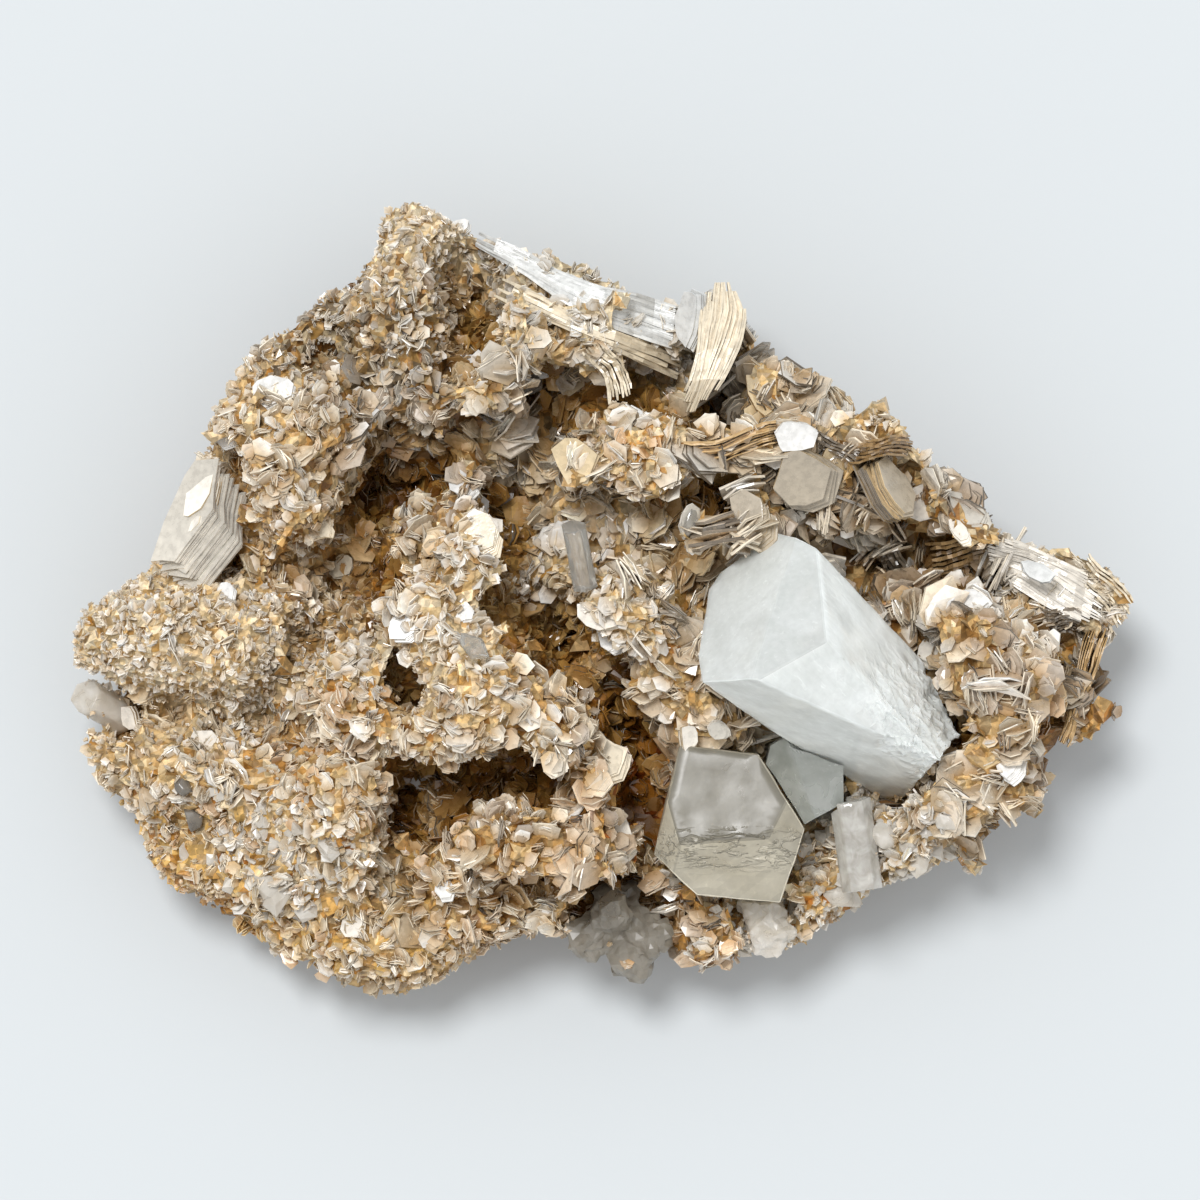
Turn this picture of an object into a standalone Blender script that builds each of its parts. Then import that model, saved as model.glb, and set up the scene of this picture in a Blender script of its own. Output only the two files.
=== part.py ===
"""Aquamarine crystals on an albite matrix crusted with muscovite mica: a hand specimen 140 mm wide.

It lies on its trimmed underside, in metres, +Z up, +X along its length. The origin is at the middle of
the base of its box. The matrix is one solid, with its small mica plates grown into it. Each large
crystal and each large mica book is a piece of its own, seated in a socket of the matrix.
"""

import math
import random
from collections import namedtuple

import bmesh
import bpy
import numpy as np
from mathutils import Matrix, Vector, noise

MM = 0.001

# Driving dimensions, in millimetres. OUTLINE sets the width of 140 and the depth of 105.
EDGE_REACH = 1.008  # makes up for what the fusing rounds off the outline
SOCKET_GAP = 0.35  # clearance of a seated crystal
SOCKET_LIFT = 30.0  # how far a socket is kept clear above its piece
VOXEL = 1.7  # size of the grid that fuses the core and its lumps
FINE_VOXEL = 1.35  # size of the grid once the clefts are in
CORE_TRIANGLES = 3350  # of the matrix before its mica plates are added
PLATE_COUNT = 82  # mica plates fused to the matrix
ROUGHNESS = 1.5  # height of the small lumps all over
ROUGHNESS_SPAN = 3.2  # and their spacing
BLOCK_BLANK = 120.0  # size of the blank that a crystal is cut from
SEED = 41

# The outline seen from above, anticlockwise from the right-hand tip: x, y and the height of its edge.
OUTLINE = [
    (69.8, -1.0, 19), (67.6, 2.0, 20), (64.4, 5.2, 21), (57.2, 8.1, 20), (52.0, 8.5, 17),
    (48.1, 13.7, 15), (43.6, 15.9, 15), (41.0, 18.9, 16), (36.4, 24.1, 18), (30.6, 26.7, 18),
    (27.6, 25.6, 16), (21.5, 31.2, 14), (18.9, 35.8, 15), (18.5, 39.0, 16), (14.0, 42.0, 17),
    (10.4, 39.2, 15), (0.0, 40.6, 13), (-5.2, 43.9, 13), (-10.4, 46.2, 14), (-16.9, 47.7, 17),
    (-20.2, 50.1, 19), (-22.8, 52.4, 20), (-25.4, 52.0, 20), (-29.3, 48.6, 19), (-31.9, 43.6, 18),
    (-38.0, 39.0, 18), (-39.0, 36.4, 18), (-45.2, 33.2, 18), (-48.8, 28.9, 18), (-52.7, 20.8, 17),
    (-55.9, 13.0, 14), (-58.5, 7.2, 14), (-63.7, 2.0, 20), (-67.6, 0.0, 24), (-69.9, -3.3, 25),
    (-69.9, -6.5, 24), (-68.4, -13.0, 18), (-67.9, -18.2, 14), (-67.4, -23.4, 12), (-62.7, -28.0, 11),
    (-61.1, -32.5, 10), (-58.5, -36.4, 9), (-53.3, -39.7, 9), (-48.1, -43.6, 9), (-39.0, -49.1, 9),
    (-33.8, -50.7, 10), (-29.9, -52.4, 11), (-26.0, -52.4, 11), (-22.1, -50.7, 12), (-16.9, -47.5, 13),
    (-13.0, -44.9, 13), (-7.8, -43.8, 13), (5.2, -44.9, 12), (9.1, -47.5, 12), (12.4, -50.1, 13),
    (15.6, -48.8, 13), (22.1, -45.5, 12), (31.9, -41.6, 12), (37.7, -37.7, 13), (42.9, -35.8, 14),
    (46.8, -32.5, 14), (52.0, -29.9, 15), (55.3, -27.3, 15), (57.9, -20.2, 15), (60.5, -18.2, 15),
    (63.1, -13.0, 16), (65.0, -7.2, 17), (67.6, -2.6, 18),
]
OUTLINE_CENTRE = (-1.0, -5.0)

# Rings of the core: share of the edge's height, height added to that, and share of the outline's reach.
CORE_RINGS = [
    (0.0, -2.0, 0.66),
    (0.35, 0.0, 0.88),
    (0.8, 0.0, 0.985),
    (1.0, 0.0, 1.0),
    (1.0, 4.5, 0.955),
    (1.0, 8.0, 0.84),
]
CORE_TOP = 24.0

Lump = namedtuple("Lump", "x y top across along turn")
LUMPS = {
    "shelf_outer": Lump(-62.6, -4.0, 32, 6.6, 5.6, 0),
    "shelf_middle": Lump(-56.6, -5.0, 35, 9.5, 7.2, -10),
    "shelf_inner": Lump(-48.8, -9.1, 34, 8.5, 6.0, -15),
    "below_shelf_outer": Lump(-62.4, -18.0, 23, 6.0, 8.0, 0),
    "below_shelf": Lump(-57.0, -21.0, 27, 7.5, 7.0, 0),
    "below_shelf_inner": Lump(-47.5, -22.8, 30, 8.0, 6.5, 0),
    "flank_left": Lump(-52.5, -32.5, 22, 8.5, 7.0, 0),
    "flank_albite": Lump(-43.4, -33.0, 27, 8.5, 8.5, 20),
    "flank_low": Lump(-39.0, -42.2, 19, 9.0, 6.0, -25),
    "gold_upper": Lump(-33.2, -13.0, 38, 6.6, 7.0, 0),
    "gold_lower": Lump(-34.5, -25.5, 35, 8.0, 7.5, 0),
    "gold_foot": Lump(-30.5, -34.5, 30, 5.0, 5.5, 0),
    "centre_cap": Lump(-24.0, -1.8, 43, 7.5, 5.2, 8),
    "centre_crown": Lump(-17.0, -10.8, 46, 8.0, 7.2, 0),
    "centre_left": Lump(-21.5, -17.8, 42, 6.0, 5.4, 0),
    "centre_right": Lump(-7.4, -14.8, 43, 7.6, 6.4, -20),
    "fin": Lump(-16.9, 6.0, 44, 4.6, 6.2, 10),
    "fin_left": Lump(-25.7, 8.8, 38, 4.4, 4.2, 0),
    "fin_top": Lump(-17.8, 14.5, 37, 3.6, 3.0, 30),
    "foot_left": Lump(-20.2, -35.0, 33, 5.2, 5.2, 0),
    "foot_middle": Lump(-13.0, -30.6, 39, 7.6, 6.4, 0),
    "foot_right": Lump(-2.0, -32.5, 37, 7.4, 6.4, 0),
    "foot_step": Lump(-1.4, -21.8, 37, 5.4, 4.4, 0),
    "bottom_left": Lump(-29.0, -45.0, 24, 10.5, 6.2, 0),
    "bottom_middle": Lump(-18.0, -41.2, 25, 8.5, 5.5, 10),
    "bottom_right": Lump(-5.2, -40.0, 23, 9.0, 4.0, 0),
    "heart": Lump(2.2, -0.6, 42, 7.4, 6.4, 0),
    "heart_low": Lump(9.0, -9.0, 36, 7.0, 7.4, 0),
    "heart_foot": Lump(13.0, -16.6, 33, 7.0, 4.6, 0),
    "block_left": Lump(-46.6, 20.4, 36, 6.0, 8.6, 0),
    "block_middle": Lump(-38.6, 17.0, 40, 8.4, 8.0, 0),
    "block_low": Lump(-42.4, 9.8, 35, 7.4, 5.2, 10),
    "block_high": Lump(-34.8, 24.2, 37, 6.4, 6.0, 0),
    "shoulder_left": Lump(-42.0, 29.6, 33, 5.4, 5.6, 0),
    "left_slab_bed": Lump(-52.4, 10.0, 21, 4.6, 8.0, -25),
    "shoulder": Lump(-35.0, 35.6, 32, 5.2, 5.0, 0),
    "peak": Lump(-25.6, 45.2, 34, 5.6, 6.4, 0),
    "peak_tip": Lump(-22.6, 48.4, 31, 4.4, 3.6, 0),
    "peak_foot": Lump(-27.4, 37.0, 37, 6.6, 7.0, 0),
    "brow": Lump(-22.4, 27.8, 36, 5.8, 6.4, 0),
    "horn": Lump(-11.2, 34.2, 40, 4.0, 6.6, 5),
    "horn_foot": Lump(-14.0, 27.0, 40, 4.6, 3.8, 0),
    "saddle": Lump(-3.4, 34.6, 35, 6.0, 6.0, 0),
    "back_slope": Lump(-8.2, 41.0, 26, 9.5, 3.8, -28),
    "back_slope_right": Lump(5.2, 34.8, 27, 7.0, 4.8, -10),
    "crest_bed": Lump(13.6, 32.4, 28, 5.4, 7.6, 0),
    "island": Lump(5.4, 18.6, 41, 7.2, 7.0, 0),
    "island_left": Lump(-3.4, 17.6, 35, 3.8, 4.8, 0),
    "behind_crest": Lump(21.0, 27.2, 26, 5.2, 4.4, 0),
    "east_left": Lump(25.6, 17.4, 35, 7.0, 6.0, 0),
    "east_middle": Lump(34.6, 19.0, 35, 6.6, 5.8, -20),
    "east_low": Lump(30.0, 11.6, 36, 6.4, 4.2, -15),
    "over_crystal": Lump(20.0, 12.6, 37, 5.4, 4.0, 0),
    "east_slope": Lump(43.4, 11.6, 28, 6.6, 4.2, -30),
    "east_ridge": Lump(54.4, 1.6, 30, 9.5, 4.2, -8),
    "east_tip": Lump(63.4, 0.0, 26, 5.4, 4.0, -25),
    "rosette_upper": Lump(47.0, -3.4, 38, 6.0, 4.8, -10),
    "rosette_outer": Lump(53.4, -11.4, 38, 6.6, 7.4, 0),
    "rosette_inner": Lump(47.6, -10.4, 36, 5.0, 5.6, 0),
    "root_cover": Lump(43.4, -24.0, 34, 5.2, 4.6, 0),
    "south_east": Lump(47.4, -25.2, 33, 8.0, 5.0, 10),
    "south_east_tip": Lump(53.0, -22.8, 29, 4.6, 4.4, 0),
    "south_prism_bed": Lump(36.4, -32.4, 28, 6.4, 5.0, 0),
    "south": Lump(25.0, -38.6, 24, 7.0, 4.4, 0),
    "south_low": Lump(18.4, -42.2, 22, 5.4, 3.8, 0),
    "south_knob": Lump(13.0, -44.4, 24, 3.8, 4.4, 0),
    "east_wall": Lump(61.2, -11.0, 23, 3.0, 7.0, 10),
    "lower_crystal_bed": Lump(15.6, -29.0, 25, 10.0, 9.0, 0),
}
LUMP_HEIGHT = 0.85  # of a lump's half height, as a share of its mean half width
LUMP_SINK = 10.0  # how far a lump reaches below its own middle, to root it in the core

# Clefts between the lumps: width, depth, then the points that each follows.
Cleft = namedtuple("Cleft", "width depth points")
CLEFTS = {
    "canyon": Cleft(3.0, 15, [(-6.5, -4.5), (-1.5, -9.5), (2.5, -15.5), (5.2, -22.0), (5.2, -30.5)]),
    "canyon_floor": Cleft(3.4, 5, [(6.0, -18.5), (5.8, -25.5)]),
    "peak_gully": Cleft(2.5, 13, [(-18.6, 43.0), (-17.2, 37.5), (-17.0, 33.0), (-19.0, 31.0)]),
    "north_hollow": Cleft(4.4, 11, [(-33.0, 15.0), (-29.5, 15.0), (-24.0, 16.5)]),
    "north_hollow_run": Cleft(2.6, 9, [(-31.0, 12.0), (-32.0, 4.5), (-35.5, 1.6)]),
    "slab_gap": Cleft(2.6, 10, [(-48.6, 11.5), (-48.0, 6.6), (-41.5, 6.0)]),
    "shelf_end": Cleft(2.4, 11, [(-36.8, -3.2), (-41.8, -6.6), (-41.6, -11.8), (-44.5, -15.0)]),
    "shelf_lip": Cleft(1.9, 6, [(-44.5, -15.0), (-52.0, -14.6), (-59.5, -14.4)]),
    "slot": Cleft(1.5, 10, [(-25.6, -11.0), (-25.6, -16.0)]),
    "cap_gap": Cleft(1.8, 7, [(-31.0, -3.6), (-29.0, -5.6)]),
    "south_cleft": Cleft(2.2, 12, [(-25.8, -27.0), (-26.0, -33.5), (-28.4, -37.4)]),
    "under_crown": Cleft(2.0, 9, [(-26.0, -23.4), (-19.0, -23.6), (-11.0, -23.6), (-6.0, -24.4)]),
    "north_basin": Cleft(4.4, 9, [(-7.6, 24.5), (-8.0, 18.0), (-11.4, 12.8)]),
    "fin_back": Cleft(2.2, 7, [(-11.6, 12.8), (-10.0, 3.0), (-6.5, -4.5)]),
    "under_crest": Cleft(2.0, 9, [(2.6, 27.2), (9.4, 28.6)]),
    "island_right": Cleft(2.2, 9, [(14.4, 17.4), (14.2, 12.0), (16.2, 6.8)]),
    "east_slot": Cleft(1.8, 8, [(26.0, 13.4), (25.6, 9.2)]),
    "east_gap": Cleft(2.2, 9, [(30.0, 15.0), (35.0, 12.8)]),
    "east_trench": Cleft(3.4, 10, [(31.0, 6.0), (37.6, 3.6), (45.0, 5.0), (52.0, 2.6)]),
    "rosette_foot": Cleft(2.2, 9, [(45.6, -16.4), (51.0, -18.6)]),
    "east_cleft": Cleft(2.0, 10, [(57.0, -3.2), (60.6, -7.0), (60.2, -14.0)]),
    "horn_gap": Cleft(1.6, 7, [(-6.9, 36.6), (-7.2, 33.4)]),
    "grey_gully": Cleft(2.8, 6, [(-36.8, 33.4), (-33.0, 30.6), (-29.0, 25.0)]),
    "quartz_gap": Cleft(1.8, 7, [(8.4, -39.5), (8.4, -44.5)]),
    "prism_gap": Cleft(1.9, 6, [(26.8, -29.0), (26.8, -35.0)]),
}

def hexagon(roll, radius, root, cap=None, point=None):
    """The faces of a six-sided prism with either a nearly flat end or three that meet in a point."""
    faces = [(roll + 60 * i, 0, radius * (1.05 if i % 2 else 1.0)) for i in range(6)]
    if cap:
        faces.append((roll, 80, cap))
    if point:
        faces.extend((roll + 120 * i, 50, point) for i in range(3))
    return faces + [(0, -90, root)]


Block = namedtuple("Block", "middle bearing rise faces walls")
# Each crystal: a point inside, the bearing and rise of its axis, its faces (turn about the axis, lean
# towards its tip, distance), and the upright planes that bound its root (bearing, distance).
BLOCKS = {
    "main_aquamarine": Block(
        (20.6, -1.9, 48.0), 134, 35,
        [(0, 90, 0.0), (43, 64.5, 0.24), (0, 0, 8.0), (60, 0, 6.54), (108, 0, 11.6), (167, 0, 13.7),
         (-160, 0, 13.5), (-128, 0, 10.6), (-112, 0, 10.95), (-55.4, -15.2, 9.77), (0, -90, 41.0)],
        [(-108, 20.0), (-40, 29.1), (26, 15.8)]),
    "lower_aquamarine": Block(
        (15.6, -29.0, 31.0), 90, 90,
        [(180, 83, 3.6), (5, 63, 4.3), (78, 66, 5.7), (-80, 40, 7.4), (0, -90, 14.0)],
        [(167, 8.3), (180, 9.4), (227, 9.2), (264.5, 9.3), (-18, 9.6), (32, 8.2), (83, 9.6)]),
    "shaded_aquamarine": Block(
        (25.2, -24.4, 24.0), 90, 90,
        [(-40, 62, 4.6), (60, 70, 5.2), (0, -90, 7.0)],
        [(233, 3.3), (170, 5.0), (300, 4.2), (52, 8.0), (120, 7.0), (0, 5.5)]),
    "lower_clear_prism": Block((32.4, -32.0, 25.6), -82, -9, hexagon(0, 2.3, 6.4, cap=5.6), []),
    "middle_clear_prism": Block((-3.6, 6.4, 39.6), 101, 24, hexagon(28, 1.5, 5.2, cap=3.4), []),
    "edge_crystal": Block((-66.9, -13.0, 15.0), 150, 40, hexagon(10, 2.05, 6.0, cap=1.6), []),
    "quartz_point": Block((21.2, -42.4, 19.0), -74, 16, hexagon(20, 2.65, 6.0, point=3.3), []),
}
# The quartz at the bottom edge: crystals grown together.
QUARTZ = [
    Block((-0.4, -43.0, 16.4), 205, 14, hexagon(15, 2.6, 6.0, point=4.3), []),
    Block((3.0, -44.9, 15.4), -75, 12, hexagon(25, 2.85, 8.0, point=4.1), []),
    Block((5.0, -43.2, 17.6), -30, 30, hexagon(0, 2.3, 8.0, point=3.5), []),
    Block((0.6, -40.6, 20.0), 60, 62, hexagon(0, 2.1, 8.0, point=3.1), []),
]

Book = namedtuple("Book", "x y z bearing lean turn across along thick leaves")
# Mica books that are pieces of their own: middle, bearing and lean of the sheets' normal, turn of the
# outline, half sizes, thickness of a leaf and how many leaves are stacked.
BOOKS = {
    "left_mica_book": Book(-53.2, 12.4, 25.0, 155, 32, -28, 4.4, 8.6, 1.5, 4),
    "white_mica_book": Book(25.0, 16.4, 35.4, -70, 24, 15, 4.2, 5.0, 1.7, 4),
    "dark_edged_mica_book": Book(37.4, 14.0, 33.0, 32, 62, 0, 4.4, 5.0, 1.2, 3),
    "end_mica_book": Book(59.4, 1.6, 25.6, 62, 24, 66, 5.6, 9.2, 1.6, 4),
}
# Books that are fused into the matrix.
FUSED_BOOKS = [
    Book(-3.2, 17.2, 38.6, 250, 12, 8, 3.3, 3.7, 1.6, 1),
    Book(0.8, -20.6, 38.6, 60, 22, 10, 2.9, 3.2, 1.5, 2),
    Book(12.8, 27.0, 31.0, 200, 64, 0, 3.0, 6.0, 1.4, 2),
    Book(14.8, 20.6, 37.6, 285, 40, 80, 3.4, 8.0, 1.5, 2),
    Book(35.2, 23.6, 33.6, 100, 26, 80, 3.0, 5.4, 1.4, 2),
    Book(29.0, 9.4, 36.0, 255, 20, 70, 3.4, 6.2, 1.4, 2),
    Book(41.4, 15.2, 31.0, 40, 38, 20, 3.6, 4.4, 1.3, 2),
    Book(46.6, 9.6, 28.0, 70, 34, 60, 3.2, 6.0, 1.4, 2),
    Book(11.6, 9.0, 40.0, 300, 30, 40, 3.6, 4.0, 1.5, 2),
    Book(17.4, 9.8, 37.8, 170, 18, 0, 4.0, 3.6, 1.6, 2),
    Book(-11.0, 35.2, 41.0, 190, 52, 0, 3.0, 6.4, 1.4, 2),
    Book(-3.6, 41.2, 22.4, 62, 42, 62, 4.4, 9.6, 1.2, 2),
    Book(7.2, 36.6, 24.6, 75, 38, 72, 4.0, 7.0, 1.2, 2),
    Book(57.6, -6.0, 32.0, 20, 50, 0, 3.6, 6.0, 1.4, 2),
    Book(61.0, -14.4, 20.4, 340, 66, 0, 3.0, 6.4, 1.2, 2),
    Book(52.6, -17.6, 34.6, 290, 48, 80, 3.4, 4.6, 1.4, 2),
    Book(44.6, 2.6, 34.0, 120, 55, 80, 2.8, 6.0, 1.3, 2),
]
# The crest: tall sheets on edge that fan out as they climb. Each is a run of stations: x, y, half
# thickness and top.
CREST_BOTTOM = 18.0
CREST = [
    [(11.6, 24.4, 0.9, 35.5), (13.2, 28.4, 1.0, 36.2), (13.6, 32.6, 1.5, 34.8), (12.9, 36.6, 2.0, 32.0),
     (14.0, 40.6, 1.4, 28.0)],
    [(12.8, 24.0, 0.9, 36.8), (14.6, 28.0, 1.0, 37.4), (15.6, 32.4, 1.3, 36.0), (15.9, 37.2, 1.6, 33.2),
     (15.8, 41.8, 1.4, 30.0)],
    [(14.2, 24.6, 0.8, 34.6), (16.2, 28.4, 1.0, 35.6), (17.4, 32.4, 1.2, 34.4), (18.0, 36.4, 1.1, 31.4),
     (17.3, 40.4, 1.0, 29.0)],
]

# Every seated piece and its material. A later piece gives way to an earlier one.
PIECES = {
    "main_aquamarine": "aquamarine",
    "lower_aquamarine": "aquamarine",
    "shaded_aquamarine": "aquamarine",
    "lower_clear_prism": "aquamarine",
    "middle_clear_prism": "aquamarine",
    "edge_crystal": "quartz",
    "quartz_point": "quartz",
    "quartz_cluster": "quartz",
    "left_mica_book": "mica_book",
    "white_mica_book": "mica_book",
    "dark_edged_mica_book": "mica_book",
    "end_mica_book": "mica_book",
    "crest_mica_book": "mica_book",
}
# Where no loose plates grow: spot and reach.
BARE_SPOTS = [((20, -2), 14), ((28, -9), 13), ((34, -16), 12), ((15.6, -29), 11), ((13.6, 35), 5)]

COLOURS = {
    "mica": (0.62, 0.50, 0.34, 1),
    "mica_book": (0.66, 0.58, 0.46, 1),
    "aquamarine": (0.72, 0.79, 0.78, 1),
    "quartz": (0.62, 0.61, 0.58, 1),
}
ROUGHNESSES = {"mica": 0.4, "mica_book": 0.3, "aquamarine": 0.15, "quartz": 0.2}


def clear_scene():
    for obj in list(bpy.data.objects):
        bpy.data.objects.remove(obj)


def make_material(name):
    made = bpy.data.materials.new(name)
    made.use_nodes = True
    shader = made.node_tree.nodes["Principled BSDF"]
    shader.inputs["Base Color"].default_value = COLOURS[name]
    shader.inputs["Roughness"].default_value = ROUGHNESSES[name]
    shader.inputs["Metallic"].default_value = 0
    return made


def new_collection(name):
    made = bpy.data.collections.new(name)
    bpy.context.scene.collection.children.link(made)
    return made


def discard(collection):
    for obj in list(collection.objects):
        bpy.data.objects.remove(obj)
    bpy.data.collections.remove(collection)


def make_object(name, bm, collection, material=None):
    mesh = bpy.data.meshes.new(name)
    bm.to_mesh(mesh)
    bm.free()
    if material:
        mesh.materials.append(material)
    obj = bpy.data.objects.new(name, mesh)
    collection.objects.link(obj)
    return obj


def apply_modifiers(obj):
    """Swaps the object's mesh for its evaluated one and drops its modifiers."""
    bpy.context.view_layer.update()
    graph = bpy.context.evaluated_depsgraph_get()
    made = bpy.data.meshes.new_from_object(obj.evaluated_get(graph))
    obj.modifiers.clear()
    obj.data = made


def boolean(obj, operation, collection):
    modifier = obj.modifiers.new(operation.title(), "BOOLEAN")
    modifier.operation = operation
    modifier.operand_type = "COLLECTION"
    modifier.collection = collection
    modifier.solver = "EXACT"
    apply_modifiers(obj)


def unite(obj, solids):
    """Joins an object and a list of solids into one closed body."""
    operands = new_collection("operands")
    for solid in solids:
        make_object("operand", solid, operands)
    boolean(obj, "UNION", operands)
    discard(operands)


def keep_largest(obj):
    """Drops the crumbs that a Boolean leaves beside the body."""
    bm = bmesh.new()
    bm.from_mesh(obj.data)
    left = set(bm.verts)
    islands = []
    while left:
        island, queue = set(), [left.pop()]
        while queue:
            vert = queue.pop()
            if vert not in island:
                island.add(vert)
                queue.extend(edge.other_vert(vert) for edge in vert.link_edges)
        left -= island
        islands.append(island)
    islands.sort(key=len)
    for island in islands[:-1]:
        bmesh.ops.delete(bm, geom=list(island), context="VERTS")
    bm.to_mesh(obj.data)
    bm.free()


def cut_away(bm, point, normal):
    """Cuts off what lies beyond a plane and closes the cut with one face."""
    geometry = bm.verts[:] + bm.edges[:] + bm.faces[:]
    cut = bmesh.ops.bisect_plane(bm, geom=geometry, plane_co=point, plane_no=normal, clear_outer=True)
    rim = [item for item in cut["geom_cut"] if isinstance(item, bmesh.types.BMEdge)]
    if rim:
        bmesh.ops.contextual_create(bm, geom=rim)


def hull(solids, lift):
    """The convex hull of some solids, drawn up by a lift so that nothing is left over it."""
    made = bmesh.new()
    for solid in solids:
        for vert in solid.verts:
            made.verts.new(vert.co)
            if lift:
                made.verts.new(vert.co + Vector((0, 0, lift * MM)))
        solid.free()
    shell = bmesh.ops.convex_hull(made, input=made.verts)
    spare = shell["geom_interior"] + shell["geom_unused"]
    loose = list({item for item in spare if isinstance(item, bmesh.types.BMVert)})
    bmesh.ops.delete(made, geom=loose, context="VERTS")
    return made


# The matrix


def add_core(bm):
    """A loft of rings that all follow the outline, closed by a fan below and above."""
    middle = Vector((*OUTLINE_CENTRE, 0))
    rings = []
    for share, more, reach in CORE_RINGS:
        ring = []
        for x, y, edge in OUTLINE:
            out = (Vector((x, y, 0)) - middle) * reach * EDGE_REACH
            height = edge * share + more
            ring.append(bm.verts.new((middle + out + Vector((0, 0, height))) * MM))
        rings.append(ring)
    for lower, upper in zip(rings, rings[1:]):
        for i in range(len(lower)):
            j = (i + 1) % len(lower)
            bm.faces.new((lower[i], lower[j], upper[j], upper[i]))
    for ring, height, order in ((rings[0], CORE_RINGS[0][1], 1), (rings[-1], CORE_TOP, -1)):
        tip = bm.verts.new((middle + Vector((0, 0, height))) * MM)
        for i in range(len(ring)):
            pair = (ring[(i + 1) % len(ring)], ring[i])
            bm.faces.new((tip, *pair[::order]))


def add_lump(bm, lump):
    """A rough ellipsoid whose lower half is drawn down into the core."""
    half_height = LUMP_HEIGHT * (lump.across + lump.along) / 2
    made = bmesh.ops.create_icosphere(bm, subdivisions=3, radius=1)["verts"]
    turn = Matrix.Rotation(math.radians(lump.turn), 3, "Z")
    for vert in made:
        rough = 1 + 0.16 * noise.noise(vert.co * 1.6 + Vector((lump.x, lump.y, lump.top)))
        low = LUMP_SINK if vert.co.z < 0 else half_height
        shape = Vector((vert.co.x * lump.across, vert.co.y * lump.along, vert.co.z * low)) * rough
        vert.co = (turn @ shape + Vector((lump.x, lump.y, lump.top - half_height))) * MM


def fuse_voxels(obj, size):
    modifier = obj.modifiers.new("Fuse", "REMESH")
    modifier.mode = "VOXEL"
    modifier.voxel_size = size * MM
    apply_modifiers(obj)


def distance_to_line(points, start, end):
    start, end = np.array(start, float), np.array(end, float)
    along = end - start
    share = np.clip(((points - start) @ along) / (along @ along), 0, 1)
    return np.linalg.norm(points - start - share[:, None] * along, axis=1)


def carve_surface(obj):
    """Presses the clefts into what faces up and roughens the whole surface."""
    count = len(obj.data.vertices)
    points = np.empty(count * 3, np.float32)
    obj.data.vertices.foreach_get("co", points)
    points = points.reshape(-1, 3) / MM
    normals = np.empty(count * 3, np.float32)
    obj.data.vertices.foreach_get("normal", normals)
    normals = normals.reshape(-1, 3)
    faces_up = np.clip(normals[:, 2] * 1.5 + 0.5, 0, 1)
    for cleft in CLEFTS.values():
        nearest = np.full(count, np.inf)
        for start, end in zip(cleft.points, cleft.points[1:]):
            nearest = np.minimum(nearest, distance_to_line(points[:, :2], start, end))
        points[:, 2] -= cleft.depth * faces_up * np.exp(-((nearest / cleft.width) ** 2))
    rough = np.array([noise.noise(Vector(point) / ROUGHNESS_SPAN) for point in points])
    points += normals * (rough * ROUGHNESS)[:, None]
    obj.data.vertices.foreach_set("co", (points * MM).astype(np.float32).ravel())
    obj.data.update()


def decimate(obj, triangles):
    now = sum(len(face.vertices) - 2 for face in obj.data.polygons)
    modifier = obj.modifiers.new("Decimate", "DECIMATE")
    modifier.ratio = triangles / now
    modifier.use_collapse_triangulate = True
    apply_modifiers(obj)


def make_core(collection, material):
    """The fused core and lumps with their clefts, cut flat underneath at z = 0."""
    bm = bmesh.new()
    add_core(bm)
    for lump in LUMPS.values():
        add_lump(bm, lump)
    core = make_object("mica_albite_matrix", bm, collection, material)
    fuse_voxels(core, VOXEL)
    carve_surface(core)
    fuse_voxels(core, FINE_VOXEL)
    decimate(core, CORE_TRIANGLES)
    bm = bmesh.new()
    bm.from_mesh(core.data)
    cut_away(bm, Vector((0, 0, 0)), Vector((0, 0, -1)))
    bm.to_mesh(core.data)
    bm.free()
    return core


# Mica


def sheet_frame(bearing, lean, turn):
    """The turn that lays +Z along a normal of this bearing and lean, after a turn in its own plane."""
    tilt = Matrix.Rotation(math.radians(bearing), 4, "Z") @ Matrix.Rotation(math.radians(lean), 4, "Y")
    return tilt @ Matrix.Rotation(math.radians(turn - bearing), 4, "Z")


def make_leaf(middle, frame, across, along, thick):
    """One flat mica plate with the outline of a flattened hexagon."""
    bm = bmesh.new()
    size = Matrix.Diagonal((across * MM, along * MM, thick * MM, 1))
    matrix = Matrix.Translation(middle * MM) @ frame @ size
    bmesh.ops.create_cone(bm, cap_ends=True, segments=6, radius1=1, radius2=1, depth=1, matrix=matrix)
    return bm


def make_book(seed, book, grow=0.0):
    """A pile of leaves, each turned and shifted a little against the last."""
    chance = random.Random(seed)
    frame = sheet_frame(book.bearing, book.lean, book.turn)
    leaves = []
    for leaf in range(book.leaves):
        size = chance.uniform(0.86, 1.0)
        slide_across = book.across * chance.uniform(-0.12, 0.12)
        slide_along = book.along * chance.uniform(-0.12, 0.12)
        slide = Vector((slide_across, slide_along, 0))
        slide.z = (leaf - (book.leaves - 1) / 2) * book.thick * 0.94
        turned = frame @ Matrix.Rotation(math.radians(chance.uniform(-9, 9)), 4, "Z")
        middle = Vector((book.x, book.y, book.z)) + frame.to_3x3() @ slide
        across, along = book.across * size + grow, book.along * size + grow
        leaves.append(make_leaf(middle, turned, across, along, book.thick + grow * 2))
    return leaves


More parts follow.
